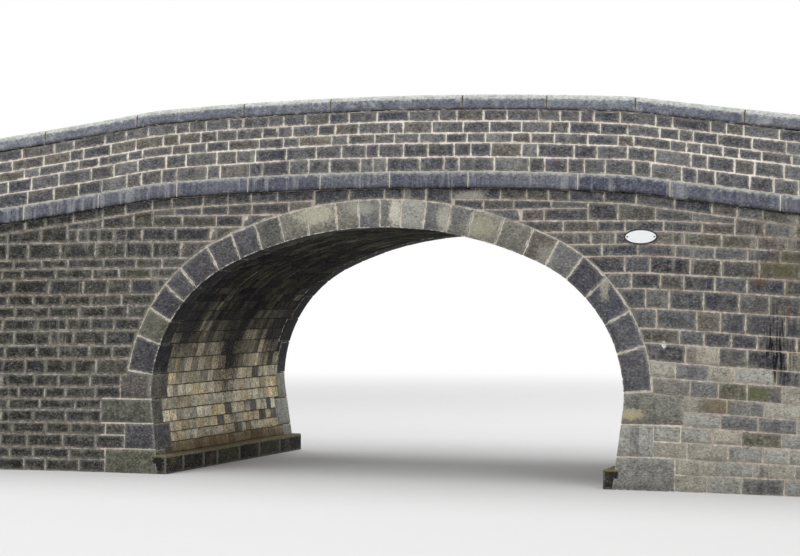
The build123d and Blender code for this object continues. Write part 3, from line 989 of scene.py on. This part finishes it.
def gravel(name, seed):
    """Loose stones on the road, thickest along the parapets and between the wheel tracks."""
    bpy.ops.object.select_all(action="DESELECT")
    bpy.ops.mesh.primitive_ico_sphere_add(subdivisions=1, radius=1)
    bpy.ops.object.mode_set(mode="EDIT")
    bpy.ops.mesh.select_all(action="SELECT")
    bpy.ops.transform.resize(value=(1.0, 0.8, 0.5))
    shape, faces = taken(bpy.context.object)

    loose = Masonry(name, seed)
    source = loose.random
    for _ in range(PEBBLES):
        x = source.uniform(-0.98, 0.98) * END_X
        half = HALF_ROAD + max(0.0, abs(x) - STRAIGHT_HALF) ** 2 / (2 * WING_INNER_RADIUS) - 0.04
        lane = source.choice((1.0, 1.0, 1.0, 0.0))
        if source.random() < 0.8:
            y = source.choice((-1, 1)) * lane * half + source.gauss(0, 0.16)
        else:
            y = source.uniform(-half, half)
        if abs(y) > half:
            y = math.copysign(2 * half - abs(y), y)
        size = source.uniform(0.006, 0.02)
        turn = source.uniform(0, math.tau)
        spin = np.array(((math.cos(turn), -math.sin(turn), 0), (math.sin(turn), math.cos(turn), 0), (0, 0, 1)))
        jitter = 1 + 0.25 * np.array([source.uniform(-1, 1) for _ in shape])[:, None]
        place = (x, y, float(hump(x, ROAD_TOP)) + 0.1 * size)
        loose.add(shape * jitter * size @ spin.T + place, faces, pick_tint(source, ROAD_STONES, 0.25),
                  np.ones(shape.shape))
    loose.finish(loose_stone, "road_metal")


def number_plate():
    """Oval enamel plate, left blank, with a raised black rim and two bolt heads."""
    low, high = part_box("oval_plaque")
    centre = (low + high) / 2
    half_x, half_z = (high.x - low.x) / 2, (high.z - low.z) / 2
    bpy.ops.object.select_all(action="DESELECT")
    bpy.ops.mesh.primitive_circle_add(vertices=72, radius=1, fill_type="NGON")
    plate = bpy.context.object
    plate.name = "oval_plate"
    bpy.ops.object.mode_set(mode="EDIT")
    bpy.ops.mesh.select_all(action="SELECT")
    bpy.ops.transform.resize(value=(half_x - 0.001, half_z - 0.001, 1))
    bpy.ops.mesh.extrude_region_move(TRANSFORM_OT_translate={"value": (0, 0, PLATE_THICKNESS)})
    for thickness, depth in ((0.003, 0.0), (PLATE_RIM, 0.0), (0.003, -0.004), (0.02, 0.0015)):
        bpy.ops.mesh.inset(thickness=thickness, depth=depth)
    bpy.ops.object.mode_set(mode="OBJECT")
    plate.data.materials.append(black_enamel)
    plate.data.materials.append(white_enamel)
    for face in plate.data.polygons:
        reach = math.hypot(face.center.x / (half_x - PLATE_RIM), face.center.y / (half_z - PLATE_RIM))
        face.material_index = int(reach < 0.995 and face.normal.z > 0.5)
    place = Matrix.Translation((centre.x, -HALF_WIDTH + FACE_BATTER * centre.z, centre.z))
    place = place @ Matrix.Rotation(math.pi / 2 - math.atan(FACE_BATTER), 4, "X")
    plate.data.transform(place)
    finish_piece(plate, "white_enamel", "oval_plaque")

    for side, name in ((-1, "left"), (1, "right")):
        bpy.ops.object.select_all(action="DESELECT")
        bpy.ops.mesh.primitive_cylinder_add(vertices=16, radius=BOLT_RADIUS, depth=0.006)
        bolt = bpy.context.object
        bolt.name = f"{name}_plate_bolt"
        bpy.ops.object.mode_set(mode="EDIT")
        select_faces(bolt.data, lambda face: face.normal.z > 0.5)
        bpy.ops.mesh.bevel(offset=0.0025, segments=3, affect="EDGES")
        bpy.ops.object.mode_set(mode="OBJECT")
        bolt.data.transform(place @ Matrix.Translation((side * BOLT_REACH, 0, PLATE_THICKNESS)))
        bolt.data.materials.append(bolt_iron)
        finish_piece(bolt, "white_enamel")


# Materials

ORIGIN = (0.0, 0.0, 0.0)


class Signal:
    """A value inside a shader, which plain arithmetic takes further."""

    def __init__(self, shader, socket):
        self.shader, self.socket = shader, socket

    def __add__(self, other):
        return self.shader.math("ADD", self, other)

    def __sub__(self, other):
        return self.shader.math("SUBTRACT", self, other)

    def __rsub__(self, other):
        return self.shader.math("SUBTRACT", other, self)

    def __mul__(self, other):
        return self.shader.math("MULTIPLY", self, other)

    __radd__ = __add__
    __rmul__ = __mul__


class Shader:
    """Adds nodes to a material or to a shared group."""

    def __init__(self, tree):
        self.tree = tree

    def fill(self, socket, value):
        """Links a signal to an input, or sets the input to a number, a vector or a colour."""
        if isinstance(value, Signal):
            self.tree.links.new(value.socket, socket)
        else:
            socket.default_value = (*value, 1.0) if socket.type == "RGBA" else value

    def add(self, kind, values=(), output=0, **settings):
        """Adds a node, fills its inputs, and gives one of its outputs."""
        node = self.tree.nodes.new(f"ShaderNode{kind}")
        for setting, value in settings.items():
            setattr(node, setting, value)
        for socket, value in dict(values).items():
            self.fill(node.inputs[socket], value)
        return Signal(self, node.outputs[output])

    def math(self, operation, first, second=0.0, clamp=False):
        return self.add("Math", {0: first, 1: second}, operation=operation, use_clamp=clamp)

    def vectors(self, operation, first, second=ORIGIN, output="Vector"):
        return self.add("VectorMath", {0: first, 1: second}, output, operation=operation)

    def part(self, vector, axis):
        return self.add("SeparateXYZ", {0: vector}, axis)

    def ramp(self, value, low, high, bottom=0.0, top=1.0):
        values = {"Value": value, "From Min": low, "From Max": high, "To Min": bottom, "To Max": top}
        return self.add("MapRange", values, interpolation_type="SMOOTHSTEP")

    def mix(self, share, first, second, blend="MIX"):
        values = {0: share, 6: first, 7: second}
        return self.add("Mix", values, 2, data_type="RGBA", blend_type=blend, clamp_factor=True)

    def noise(self, position, scale, detail=3.0, roughness=0.6):
        return self.add("TexNoise", {"Vector": position, "Scale": scale, "Detail": detail, "Roughness": roughness})

    def attribute(self, name, output):
        return self.add("Attribute", output=output, attribute_name=name)

    def shade(self, first, factor):
        """A colour made lighter or darker by a factor."""
        grey = self.add("CombineColor", {0: factor, 1: factor, 2: factor})
        return self.mix(1.0, first, grey, "MULTIPLY")

    def use(self, group, output="Mask", **values):
        """An output of a shared group, with these inputs."""
        return self.add("Group", values, output, node_tree=group)

    def seen_by(self, *rays):
        """1 for these kinds of rays and 0 for the others."""
        path = self.tree.nodes.new("ShaderNodeLightPath")
        total, *others = [Signal(self, path.outputs[f"Is {ray} Ray"]) for ray in rays]
        for other in others:
            total = self.math("ADD", total, other, clamp=True)
        return total

    def give(self, **outputs):
        """Ends a shared group with these outputs."""
        for label in outputs:
            self.tree.interface.new_socket(label, in_out="OUTPUT", socket_type="NodeSocketFloat")
        end = self.tree.nodes.new("NodeGroupOutput")
        for label, value in outputs.items():
            self.fill(end.inputs[label], value)
        return self.tree


def shared_group(name, **inputs):
    """Starts a shared group: the shader to fill it, and its inputs, which are given with their defaults."""
    tree = bpy.data.node_groups.new(name, "ShaderNodeTree")
    for label, value in inputs.items():
        kind = "NodeSocketFloat" if isinstance(value, float) else "NodeSocketVector"
        tree.interface.new_socket(label, in_out="INPUT", socket_type=kind).default_value = value
    shader = Shader(tree)
    source = tree.nodes.new("NodeGroupInput")
    return shader, [Signal(shader, source.outputs[label]) for label in inputs]


def grit_group():
    """Sandy grain: lights and darks in three sizes, and the height that goes with them."""
    shader, (position, mottle, grain) = shared_group("grit", Position=ORIGIN, Mottle=0.5, Grain=0.5)
    coarse = shader.noise(position, 7.0)
    bedded = shader.vectors("MULTIPLY", position, (1.0, 1.0, 1.7))
    middle = shader.noise(bedded, 24.0, 5.0, 0.75)
    fine = shader.noise(bedded, 85.0, 3.0, 0.7)
    grains = (middle - 0.5) * 1.7 + (fine - 0.5) * 1.5
    shade = 1.0 + (mottle * (coarse - 0.5) * 2.0 + grain * (grains * 2.0))
    height = coarse * 0.8 + (middle * 0.5 + fine * 0.12)
    return shader.give(Shade=shader.math("MAXIMUM", shade, 0.15), Height=height)


def streak_group():
    """Streaks that rain or tar leaves down a wall."""
    shader, (position, stretch, cover, patchy) = shared_group(
        "streaks", Position=ORIGIN, Stretch=(9.0, 9.0, 0.7), Cover=0.4, Patchy=0.6)
    lines = shader.noise(shader.vectors("MULTIPLY", position, stretch), 1.0, 4.0)
    value = lines + (shader.noise(position, 0.9, 2.0, 0.5) - 0.5) * patchy
    low = 0.72 - cover * 0.4
    return shader.give(Mask=shader.ramp(value, low, low + 0.14))


def blotch_group():
    """Ragged patches of lichen, lime or soot."""
    shader, (position, size, cover, ragged) = shared_group(
        "blotches", Position=ORIGIN, Size=3.0, Cover=0.4, Ragged=0.5)
    wide = shader.noise(position, size, 2.0, 0.5)
    value = wide + ragged * (shader.noise(position, size * 9.0, 5.0, 0.7) - 0.5)
    low = 0.74 - cover * 0.5
    return shader.give(Mask=shader.ramp(value, low, low + 0.3))


def edge_group():
    """Distance to the nearest edge of a stone: mortar dragged over it, and a weathered margin inside it."""
    shader, (position, width) = shared_group("edges", Position=ORIGIN, Width=0.012)
    inset = shader.attribute("inset", "Vector")
    across, up, deep = [shader.part(inset, axis) for axis in "XYZ"]
    nearest = shader.math("MAXIMUM", shader.math("MINIMUM", across, up),
                          shader.math("MINIMUM", shader.math("MAXIMUM", across, up), deep))
    reach = width * shader.ramp(shader.noise(position, 14.0, 4.0, 0.7), 0.38, 0.68, 0.0, 2.4)
    rough = (shader.noise(position, 38.0, 5.0, 0.75) - 0.5) * 0.12
    return shader.give(Mortar=shader.ramp(reach - nearest, 0.0, 0.005), Margin=shader.ramp(nearest + rough, 0.045, 0.0))


def place_group():
    """A soft-edged place on the bridge, round a centre."""
    shader, (position, centre, reach, ragged, speckle) = shared_group(
        "place", Position=ORIGIN, Centre=ORIGIN, Reach=(1.0, 1.0, 1.0), Ragged=3.4, Speckle=0.3)
    share = shader.vectors("DIVIDE", shader.vectors("SUBTRACT", position, centre), reach)
    distance = shader.vectors("LENGTH", share, output="Value")
    value = distance + ragged * (shader.noise(position, 26.0, 8.0, 0.85) - 0.5)
    speckled = shader.ramp(shader.noise(position, 70.0, 4.0, 0.8), 0.36, 0.56, speckle, 1.0)
    return shader.give(Mask=shader.ramp(value, 1.0, 0.5) * speckled)


grit = grit_group()
streaks = streak_group()
blotches = blotch_group()
edges = edge_group()
stain_place = place_group()


class Material(Shader):
    """A material's shader: it starts at the Object coordinates and ends in the principled node."""

    def __init__(self, name):
        self.material = bpy.data.materials.new(name)
        self.material.use_nodes = True
        super().__init__(self.material.node_tree)
        self.tree.nodes.clear()
        self.end = self.tree.nodes.new("ShaderNodeOutputMaterial").inputs[0]
        self.surface = self.tree.nodes.new("ShaderNodeBsdfPrincipled")
        self.fill(self.end, Signal(self, self.surface.outputs[0]))
        self.position = self.add("TexCoord", output="Object")
        self.up = self.part(self.position, "Z")

    def gritty(self, position, mottle, grain):
        """Shade and height of the grain."""
        return [self.use(grit, output, Position=position, Mottle=mottle, Grain=grain) for output in ("Shade", "Height")]

    def patches(self, base, layers, position=None):
        """Lays ragged patches over a colour: (colour, strength, size, cover) for each."""
        for number, (shade, strength, size, cover) in enumerate(layers):
            moved = self.vectors("ADD", position or self.position, (17.0 * number, 5.0, 3.0))
            base = self.mix(self.use(blotches, Position=moved, Size=size, Cover=cover) * strength, base, shade)
        return base

    def rain(self, base, layers, heights=None):
        """Lays streaks over a colour: (colour, strength, stretch, cover) for each, growing between two heights."""
        for number, (shade, strength, stretch, cover) in enumerate(layers):
            moved = self.vectors("ADD", self.position, (3.0, 11.0 * number, 0.0))
            mask = self.use(streaks, Position=moved, Stretch=stretch, Cover=cover)
            if heights:
                mask = mask * self.ramp(self.up, *heights)
            base = self.mix(mask * strength, base, shade)
        return base

    def stains(self, base, places, streaked=False):
        """Lays stains on their places: (centre, reach, colour, strength) for each."""
        ragged, speckle = (0.8, 1.0) if streaked else (3.4, 0.3)
        for centre, reach, shade, strength in places:
            mask = self.use(stain_place, Position=self.position, Centre=centre, Reach=reach, Ragged=ragged,
                            Speckle=speckle)
            if streaked:
                mask = mask * self.use(streaks, Position=self.position, Stretch=(40.0, 40.0, 0.4), Cover=0.66,
                                       Patchy=0.0)
            base = self.mix(mask * strength, base, shade)
        return base

    def finish(self, base, roughness, height, depth, gloss=0.15, metallic=0.0):
        """Fills the principled node, with a bump, and gives the material."""
        bump = self.add("Bump", {"Height": height, "Distance": depth, "Strength": 1.0})
        for socket, value in (("Base Color", base), ("Roughness", roughness), ("Metallic", metallic),
                              ("Specular IOR Level", gloss), ("Normal", bump)):
            self.fill(self.surface.inputs[socket], value)
        return self.material


def stone_material(name, mottle, grain, smear_width, smear_colour=LIME, blotch_layers=(), streak_layers=(),
                   stain_places=(), drips=(), tops_weathered_and_painted_lit=None, dust=0.4, depth=0.007, heights=None, gloss=0.15,
                   soot_and_painted_shade_under=False):
    """Weathered gritstone, tinted stone by stone, with painted light and shade from the tint's alpha."""
    shader = Material(name)
    position = shader.position
    shift = shader.attribute("shift", "Fac")
    moved = shader.add("CombineXYZ", {0: shift * 61.0, 1: shift * 37.0, 2: shift * 23.0})
    own = shader.vectors("ADD", position, moved)
    tint, painted_light = [shader.attribute("stone_tint", output) for output in ("Color", "Alpha")]
    mortared, margin = [shader.use(edges, output, Position=position, Width=smear_width)
                        for output in ("Mortar", "Margin")]
    shade, height = shader.gritty(own, mottle, grain)
    base = shader.mix(shader.ramp(shade, 1.0, 1.7) * dust, shader.shade(tint, shade), DUST)
    base = shader.patches(base, blotch_layers, own)
    base = shader.rain(base, streak_layers, heights)
    # The pale margin fades where painted shade darkens a stone's foot
    base = shader.mix(margin * shader.ramp(painted_light, 0.4, 0.9) * (1.15 * dust), base, DUST)
    # Painted shadow: darker at each stone's foot, and under the string course and the bands, from the painted light in
    # alpha
    base = shader.shade(base, shader.ramp(painted_light, 0.15, 0.6, 0.3, 1.0))
    pitted = shader.noise(shader.vectors("MULTIPLY", own, (1.0, 1.0, 1.5)), 27.0, 5.0, 0.75)
    base = shader.shade(base, shader.ramp(pitted, 0.34, 0.5, 0.5, 1.0))
    base = shader.mix(shader.ramp(pitted, 0.55, 0.7) * (0.12 + 0.9 * dust), base, SPECK)
    base = shader.mix(mortared * 0.8, base, smear_colour)
    base = shader.stains(base, stain_places)
    base = shader.stains(base, drips, streaked=True)
    normal = shader.add("NewGeometry", output="Normal")
    # Soot with painted shade on the ring's undersides under the arch, growing upwards
    if soot_and_painted_shade_under:
        facing = shader.math("ABSOLUTE", shader.part(normal, "Y"))
        painted_shade_and_soot = shader.ramp(facing, 0.75, 0.4) * shader.ramp(shader.up, 1.3, 2.3, 0.3, 0.75)
        base = shader.mix(painted_shade_and_soot, base, SOFFIT_BLACK)
    # Tops paler: weathering, lichen and moss, and painted light where the tops face up
    if tops_weathered_and_painted_lit:
        ragged = shader.part(normal, "Z") + (shader.noise(position, 16.0, 4.0, 0.7) - 0.5) * 0.3
        top = shader.mix(shader.ramp(shade, 0.7, 1.3), *tops_weathered_and_painted_lit)
        base = shader.mix(shader.ramp(ragged, 0.08, 0.2), base, top)
    return shader.finish(base, shader.ramp(shade, 0.6, 1.4, 0.95, 0.8), height, depth, gloss)


def mortar_material(name, pale, warm, dirt, dirt_cover, front=None, stain_places=()):
    """Lime mortar, sandy and uneven; an abutment's turns pale towards the faces, and darker upwards as painted shade
    with soot.
    """
    shader = Material(name)
    shade, height = shader.gritty(shader.position, 0.35, 0.3)
    base = shader.patches(pale, ((warm, 0.8, 1.6, 0.5), (dirt, 0.7, 2.3, dirt_cover)))
    base = shader.stains(base, stain_places)
    if front:
        reach = shader.math("ABSOLUTE", shader.part(shader.position, "Y")) + shader.up * FACE_BATTER
        # Painted shade with soot: the mortar turns dark upwards under the arch
        base = shader.mix(shader.ramp(shader.up, 0.9, 2.2), base, SOFFIT_DARK)
        base = shader.mix(shader.ramp(reach, HALF_WIDTH - 0.05, HALF_WIDTH - 0.02), base, front)
    return shader.finish(shader.shade(base, shade), 0.95, height, 0.003)


def road_material(name, stone, dust, tracks, layers, depth):
    """Rolled gravel, darker between the wheel tracks."""
    shader = Material(name)
    position = shader.position
    near, cells = [shader.add("TexVoronoi", {"Vector": position, "Scale": 48.0, "Randomness": 1.0}, output)
                   for output in ("Distance", "Color")]
    base = shader.mix(shader.add("SeparateColor", {0: cells}), stone, dust)
    beside = shader.math("ABSOLUTE", shader.math("ABSOLUTE", shader.part(position, "Y")) - TRACK_REACH)
    wander = (shader.noise(position, 0.8) - 0.5) * 0.5
    base = shader.mix(shader.ramp(beside + wander, 0.42, 0.16) * 0.6, base, tracks)
    base = shader.patches(base, layers)
    shade = shader.gritty(position, 0.4, 0.5)[0]
    return shader.finish(shader.shade(base, shade), 0.95, near * -1.0, depth)


def plain_material(name, shade, roughness, wear, metallic=0.0):
    """Enamel or iron with faint specks of wear."""
    shader = Material(name)
    base = shader.patches(shade, ((wear, 0.5, 30.0, 0.3), (wear, 0.2, 9.0, 0.35)))
    return shader.finish(base, roughness, shader.noise(shader.position, 60.0, 2.0), 0.0004, 0.5, metallic)


# Stains on their places: centre, reach, colour and strength
RING_STAINS = (
    ((-1.03, -2.4, 3.82), (0.4, 0.5, 0.2), colour(220, 216, 193), 0.55),
    ((0.2, -2.4, 3.84), (0.12, 0.5, 0.26), colour(234, 228, 209), 0.75),
    ((-0.3, -2.4, 3.9), (0.3, 0.5, 0.12), colour(209, 206, 189), 0.4),
    ((3.3, -2.5, 2.75), (0.08, 0.5, 0.22), colour(209, 202, 180), 0.5),
    ((0.95, -2.4, 3.75), (0.14, 0.5, 0.24), colour(213, 209, 187), 0.55),
    ((1.5, -2.4, 3.62), (0.3, 0.5, 0.22), colour(198, 195, 167), 0.45),
    ((2.45, -2.4, 3.2), (0.2, 0.5, 0.22), colour(180, 180, 169), 0.4),
)
FACE_STAINS = (
    ((3.7, -2.56, 1.03), (0.2, 0.4, 0.1), colour(205, 191, 151), 0.7),
    ((4.14, -2.5, 1.98), (0.035, 0.3, 0.06), colour(248, 248, 248), 0.9),
    ((1.33, -2.3, 4.06), (0.3, 0.4, 0.09), colour(187, 183, 169), 0.7),
    ((4.88, -2.5, 1.17), (0.33, 0.5, 0.15), colour(100, 82, 53), 0.75),
    ((5.42, -2.6, 1.34), (0.22, 0.5, 0.1), colour(95, 98, 60), 0.8),
    ((5.45, -2.5, 2.87), (0.13, 0.5, 0.1), colour(104, 77, 53), 0.8),
    ((5.84, -2.6, 2.42), (0.035, 0.5, 0.14), colour(122, 75, 62), 0.6),
    ((5.8, -2.6, 3.05), (0.45, 0.5, 0.22), colour(95, 89, 62), 0.6),
    ((-0.2, -2.3, 4.74), (0.12, 0.5, 0.12), colour(118, 84, 111), 0.25),
    ((2.5, -2.3, 4.55), (0.06, 0.5, 0.08), colour(91, 102, 149), 0.4),
    ((2.58, -2.3, 4.55), (0.05, 0.5, 0.06), colour(151, 98, 91), 0.4),
)
TAR_DRIPS = (((5.7, -2.6, 1.95), (0.27, 0.7, 0.7), colour(17, 18, 26), 1.0),)
MORTAR_STAINS = tuple(
    ((end * x, end * y, z), reach, shade, strength)
    for end in (1, -1)
    for (x, y, z), reach, shade, strength in (
        ((-6.6, -2.8, 1.7), (5.2, 1.7, 3.6), colour(104, 98, 84), 0.85),
        ((6.9, -2.9, 3.3), (2.2, 1.3, 1.1), colour(112, 100, 80), 0.85),
    )
)
VAULT_STAINS = (
    ((-3.3, 0.1, 2.25), (1.6, 0.6, 1.5), colour(31, 29, 36), 0.95),
    ((-3.2, -1.85, 2.35), (1.4, 0.45, 0.85), colour(35, 35, 44), 0.85),
    ((-3.3, 1.8, 2.1), (1.4, 0.5, 0.7), colour(35, 35, 44), 0.9),
    ((-3.5, 0.0, 0.3), (1.5, 3.4, 0.22), colour(104, 84, 55), 0.85),
)

walling = stone_material(
    "walling_stone", 0.6, 0.8, 0.005,
    blotch_layers=((SOOTY, 0.5, 2.6, 0.42), (colour(149, 145, 134), 0.45, 6.0, 0.44)),
    streak_layers=((colour(66, 66, 75), 0.5, (7.0, 7.0, 0.5), 0.35),
                   (colour(169, 167, 158), 0.35, (11.0, 11.0, 0.8), 0.3)),
    stain_places=FACE_STAINS, drips=TAR_DRIPS)
parapet_stone = stone_material(
    "parapet_stone", 0.65, 0.85, 0.008, dust=0.5, depth=0.011,
    blotch_layers=((SOOTY, 0.5, 2.6, 0.4), (colour(158, 154, 149), 0.5, 8.0, 0.42)),
    streak_layers=((colour(62, 62, 71), 0.5, (7.0, 7.0, 0.5), 0.35),), stain_places=FACE_STAINS)
dressed_ring = stone_material(
    "ring_stone", 0.45, 0.7, 0.008,
    blotch_layers=((colour(151, 149, 138), 0.35, 3.0, 0.42), (SOOTY, 0.4, 2.2, 0.4)),
    stain_places=RING_STAINS, soot_and_painted_shade_under=True)
string_stone = stone_material(
    "string_stone", 0.4, 0.6, 0.003, depth=0.004,
    blotch_layers=((colour(91, 95, 111), 0.5, 2.0, 0.45),),
    streak_layers=((colour(160, 162, 165), 0.6, (8.0, 8.0, 0.25), 0.47),
                   (colour(71, 73, 89), 0.5, (12.0, 12.0, 0.3), 0.4),
                   (colour(64, 66, 80), 0.45, (48.0, 48.0, 1.6), 0.5)),
    tops_weathered_and_painted_lit=(colour(140, 142, 140), colour(196, 196, 190)))
coping_stone = stone_material(
    "coping_stone", 0.5, 0.65, 0.005, depth=0.006,
    blotch_layers=((colour(102, 104, 115), 0.6, 2.4, 0.45), (colour(189, 189, 187), 0.6, 6.0, 0.42)),
    streak_layers=((colour(91, 93, 104), 0.5, (6.0, 6.0, 0.4), 0.4),),
    tops_weathered_and_painted_lit=(colour(163, 166, 162), colour(214, 216, 211)))
dressed = stone_material(
    "pier_stone", 0.4, 0.34, 0.008,
    blotch_layers=((SOOTY, 0.5, 2.0, 0.4), (OLIVE, 0.45, 2.6, 0.45)),
    streak_layers=((colour(66, 66, 75), 0.4, (7.0, 7.0, 0.5), 0.35),),
    tops_weathered_and_painted_lit=(colour(124, 124, 116), colour(162, 162, 152)))
vaulting = stone_material(
    "vault_stone", 0.8, 0.8, 0.003, colour(118, 109, 95), dust=0.0, heights=(1.1, 3.0, 0.1, 1.0), gloss=0.04,
    blotch_layers=((SOFFIT_OLIVE, 0.4, 2.0, 0.45), (SOFFIT_BLACK, 0.4, 1.4, 0.4),
                   (colour(114, 103, 70), 0.4, 3.2, 0.45), (colour(69, 60, 53), 0.5, 8.0, 0.44)),
    streak_layers=((colour(23, 22, 27), 0.9, (0.35, 4.2, 0.35), 0.55),
                   (colour(18, 18, 23), 0.8, (0.4, 12.0, 0.4), 0.42),
                   (colour(147, 142, 126), 0.4, (0.5, 11.0, 0.5), 0.33)),
    stain_places=VAULT_STAINS)
footing_stone = stone_material(
    "footing_stone", 0.4, 0.3, 0.004, colour(124, 118, 106),
    blotch_layers=((colour(93, 80, 55), 0.7, 3.0, 0.5),), tops_weathered_and_painted_lit=(colour(100, 89, 64), colour(126, 122, 95)))
rubble_stone = stone_material(
    "rubble_stone", 0.5, 0.45, 0.01, colour(169, 153, 131),
    blotch_layers=((colour(104, 91, 71), 0.5, 2.0, 0.45), (OLIVE, 0.4, 3.0, 0.4)))
loose_stone = stone_material("loose_gravel", 0.4, 0.4, 0.0)

mortar = mortar_material("lime_mortar", colour(246, 239, 230), colour(240, 222, 211), colour(144, 138, 129), 0.36)
old_mortar = mortar_material(
    "weathered_mortar", colour(192, 181, 168), colour(197, 175, 159), colour(100, 93, 85), 0.46,
    stain_places=MORTAR_STAINS)
dark_mortar = mortar_material("sooty_mortar", colour(104, 98, 86), colour(118, 106, 91), colour(51, 50, 48), 0.5)
inner_mortar = mortar_material(
    "vault_mortar", colour(91, 85, 75), colour(100, 91, 77), colour(35, 34, 34), 0.62, colour(216, 207, 192))
earth = mortar_material("packed_earth", colour(118, 102, 80), colour(138, 120, 95), colour(80, 69, 53), 0.45)
road_metal = road_material(
    "road_metal", colour(98, 94, 89), colour(140, 134, 124), colour(149, 143, 132),
    ((colour(89, 81, 66), 0.7, 1.1, 0.45), (colour(126, 120, 106), 0.5, 3.1, 0.45)), 0.006)
white_enamel = plain_material("white_enamel", colour(240, 242, 243), 0.22, colour(205, 200, 190))
black_enamel = plain_material("black_enamel", colour(24, 24, 27), 0.35, colour(70, 60, 52))
bolt_iron = plain_material("bolt_iron", colour(58, 56, 60), 0.5, colour(110, 72, 50), 0.6)


# The object

CORNERS = [f"{side}_{end}" for side in ("front", "back") for end in ("left", "right")]
COATS = (
    (old_mortar, [f"{corner}_{wall}" for corner in CORNERS for wall in ("spandrel", "wing_wall")]),
    (inner_mortar, [f"{corner}_arch_ring" for corner in CORNERS]),
    (mortar, [f"{corner}_wing_parapet" for corner in CORNERS]),
    (mortar, ["front_parapet", "back_parapet"]),
    (inner_mortar, ["arch_barrel", "left_abutment", "right_abutment"]),
    (earth, ["spandrel_fill", "left_approach_fill", "right_approach_fill"]),
    (road_metal, ["roadway"]),
)
BANDS = {
    "string_course": dict(
        lengths=STRING_LENGTHS, crest=STRING_BOTTOM, height=STRING_HEIGHT, outer=STRING_PROJECTION, inner=0.0,
        tints=(STRING_BLUE, STRING_GREY), arris=0.012, top_arris=0.02, material=string_stone, bedding=mortar),
    "coping": dict(
        lengths=COPING_LENGTHS, crest=COPING_BOTTOM, height=COPING_HEIGHT, outer=COPING_OVERHANG,
        inner=COPING_OVERHANG, tints=(COPING_GREY, COPING_BLUE), arris=0.014, top_arris=0.06, material=coping_stone,
        bedding=dark_mortar),
}

for material, names in COATS:
    for name in names:
        slots = frame["nodes"][name].data.materials
        slots.clear()
        slots.append(material)

for side, turned in (("front", False), ("back", True)):
    seed = 40 if turned else 10
    face_wall(f"{side}_wall_stones", seed + 1, turned)
    parapet_wall(f"{side}_parapet_stones", seed + 2, outer_band, turned)
    parapet_wall(f"{side}_parapet_inner_stones", seed + 3, inner_band, turned)
    arch_ring(f"{side}_voussoirs", seed + 4, turned)
    for number, (band, shape) in enumerate(BANDS.items()):
        nodes = [f"{side}_{band}", f"{side}_left_wing_{band}", f"{side}_right_wing_{band}"]
        dressed_band(f"{side}_{band}_stones", seed + 5 + number, nodes, turned, **shape)
    for end, name in ((-1, "right" if turned else "left"), (1, "left" if turned else "right")):
        corner = f"{side}_{name}_end_pier"
        end_pier(f"{corner}_stones", seed + 8 + end, end, corner, turned)
for side, turned in (("left", False), ("right", True)):
    footing(f"{side}_footing_stones", 71 + turned, f"{side}_footing", turned)
    quoins(f"{side}_abutment_quoins", 75 + turned, 1 if turned else -1)
for side, turned in (("right", False), ("left", True)):
    end_rubble(f"{side}_approach_rubble", 81 + turned, turned)
barrel("barrel_stones", 91)
gravel("road_gravel", 95)
number_plate()


# Floor, light and camera


def floor():
    """Pale floor at the water line, which fades to white far from the object, for the camera only."""
    shader = Material("studio_floor")
    shader.fill(shader.surface.inputs["Base Color"], FLOOR_SHADE)
    shader.fill(shader.surface.inputs["Roughness"], 0.9)
    distance = shader.vectors("LENGTH", shader.position, output="Value")
    share = shader.ramp(distance, *FLOOR_FADE) * shader.seen_by("Camera", "Glossy")
    white = shader.add("Emission", {"Color": (1.0, 1.0, 1.0), "Strength": 1.0})
    mixed = shader.add("MixShader", {0: share, 1: Signal(shader, shader.surface.outputs[0]), 2: white})
    shader.fill(shader.end, mixed)

    bpy.ops.object.select_all(action="DESELECT")
    bpy.ops.mesh.primitive_circle_add(vertices=96, radius=FLOOR_RADIUS, fill_type="NGON")
    ground = bpy.context.object
    ground.name = "studio_ground"
    ground.data.materials.append(shader.material)


def lamp(name, place, size, power):
    """A soft lamp that looks at the arch."""
    light = bpy.data.lights.new(name, "AREA")
    light.size = size
    light.energy = power
    holder = bpy.data.objects.new(name, light)
    holder.location = place
    holder.rotation_mode = "QUATERNION"
    holder.rotation_quaternion = (Vector(LAMP_TARGET) - Vector(place)).to_track_quat("-Z", "Y")
    bpy.context.scene.collection.objects.link(holder)


def world():
    """Even light all round; white where the camera, glass and gloss see it."""
    studio = bpy.data.worlds.new("studio")
    bpy.context.scene.world = studio
    studio.use_nodes = True
    shader = Shader(studio.node_tree)
    shader.tree.nodes.clear()
    strength = shader.seen_by("Camera", "Glossy", "Transmission") * (1 - WORLD_LIGHT) + WORLD_LIGHT
    background = shader.add("Background", {"Color": (1.0, 1.0, 1.0), "Strength": strength})
    shader.fill(shader.tree.nodes.new("ShaderNodeOutputWorld").inputs[0], background)


def camera():
    """The photograph's view, from the towpath."""
    lens = bpy.data.cameras.new("camera")
    lens.sensor_width = 36.0
    lens.lens = LENS
    lens.clip_end = 500.0
    holder = bpy.data.objects.new("camera", lens)
    forward = Vector((-math.sin(YAW) * math.cos(PITCH), math.cos(YAW) * math.cos(PITCH), math.sin(PITCH)))
    level = Vector((math.cos(YAW), math.sin(YAW), 0))
    upright = level.cross(forward)
    right = math.cos(ROLL) * level + math.sin(ROLL) * upright
    up = math.cos(ROLL) * upright - math.sin(ROLL) * level
    holder.matrix_world = Matrix.Translation(EYE) @ Matrix((right, up, -forward)).transposed().to_4x4()
    bpy.context.scene.collection.objects.link(holder)
    bpy.context.scene.camera = holder


floor()
for name, settings in LAMPS.items():
    lamp(name, *settings)
world()
camera()
bpy.context.scene.view_settings.view_transform = "Standard"
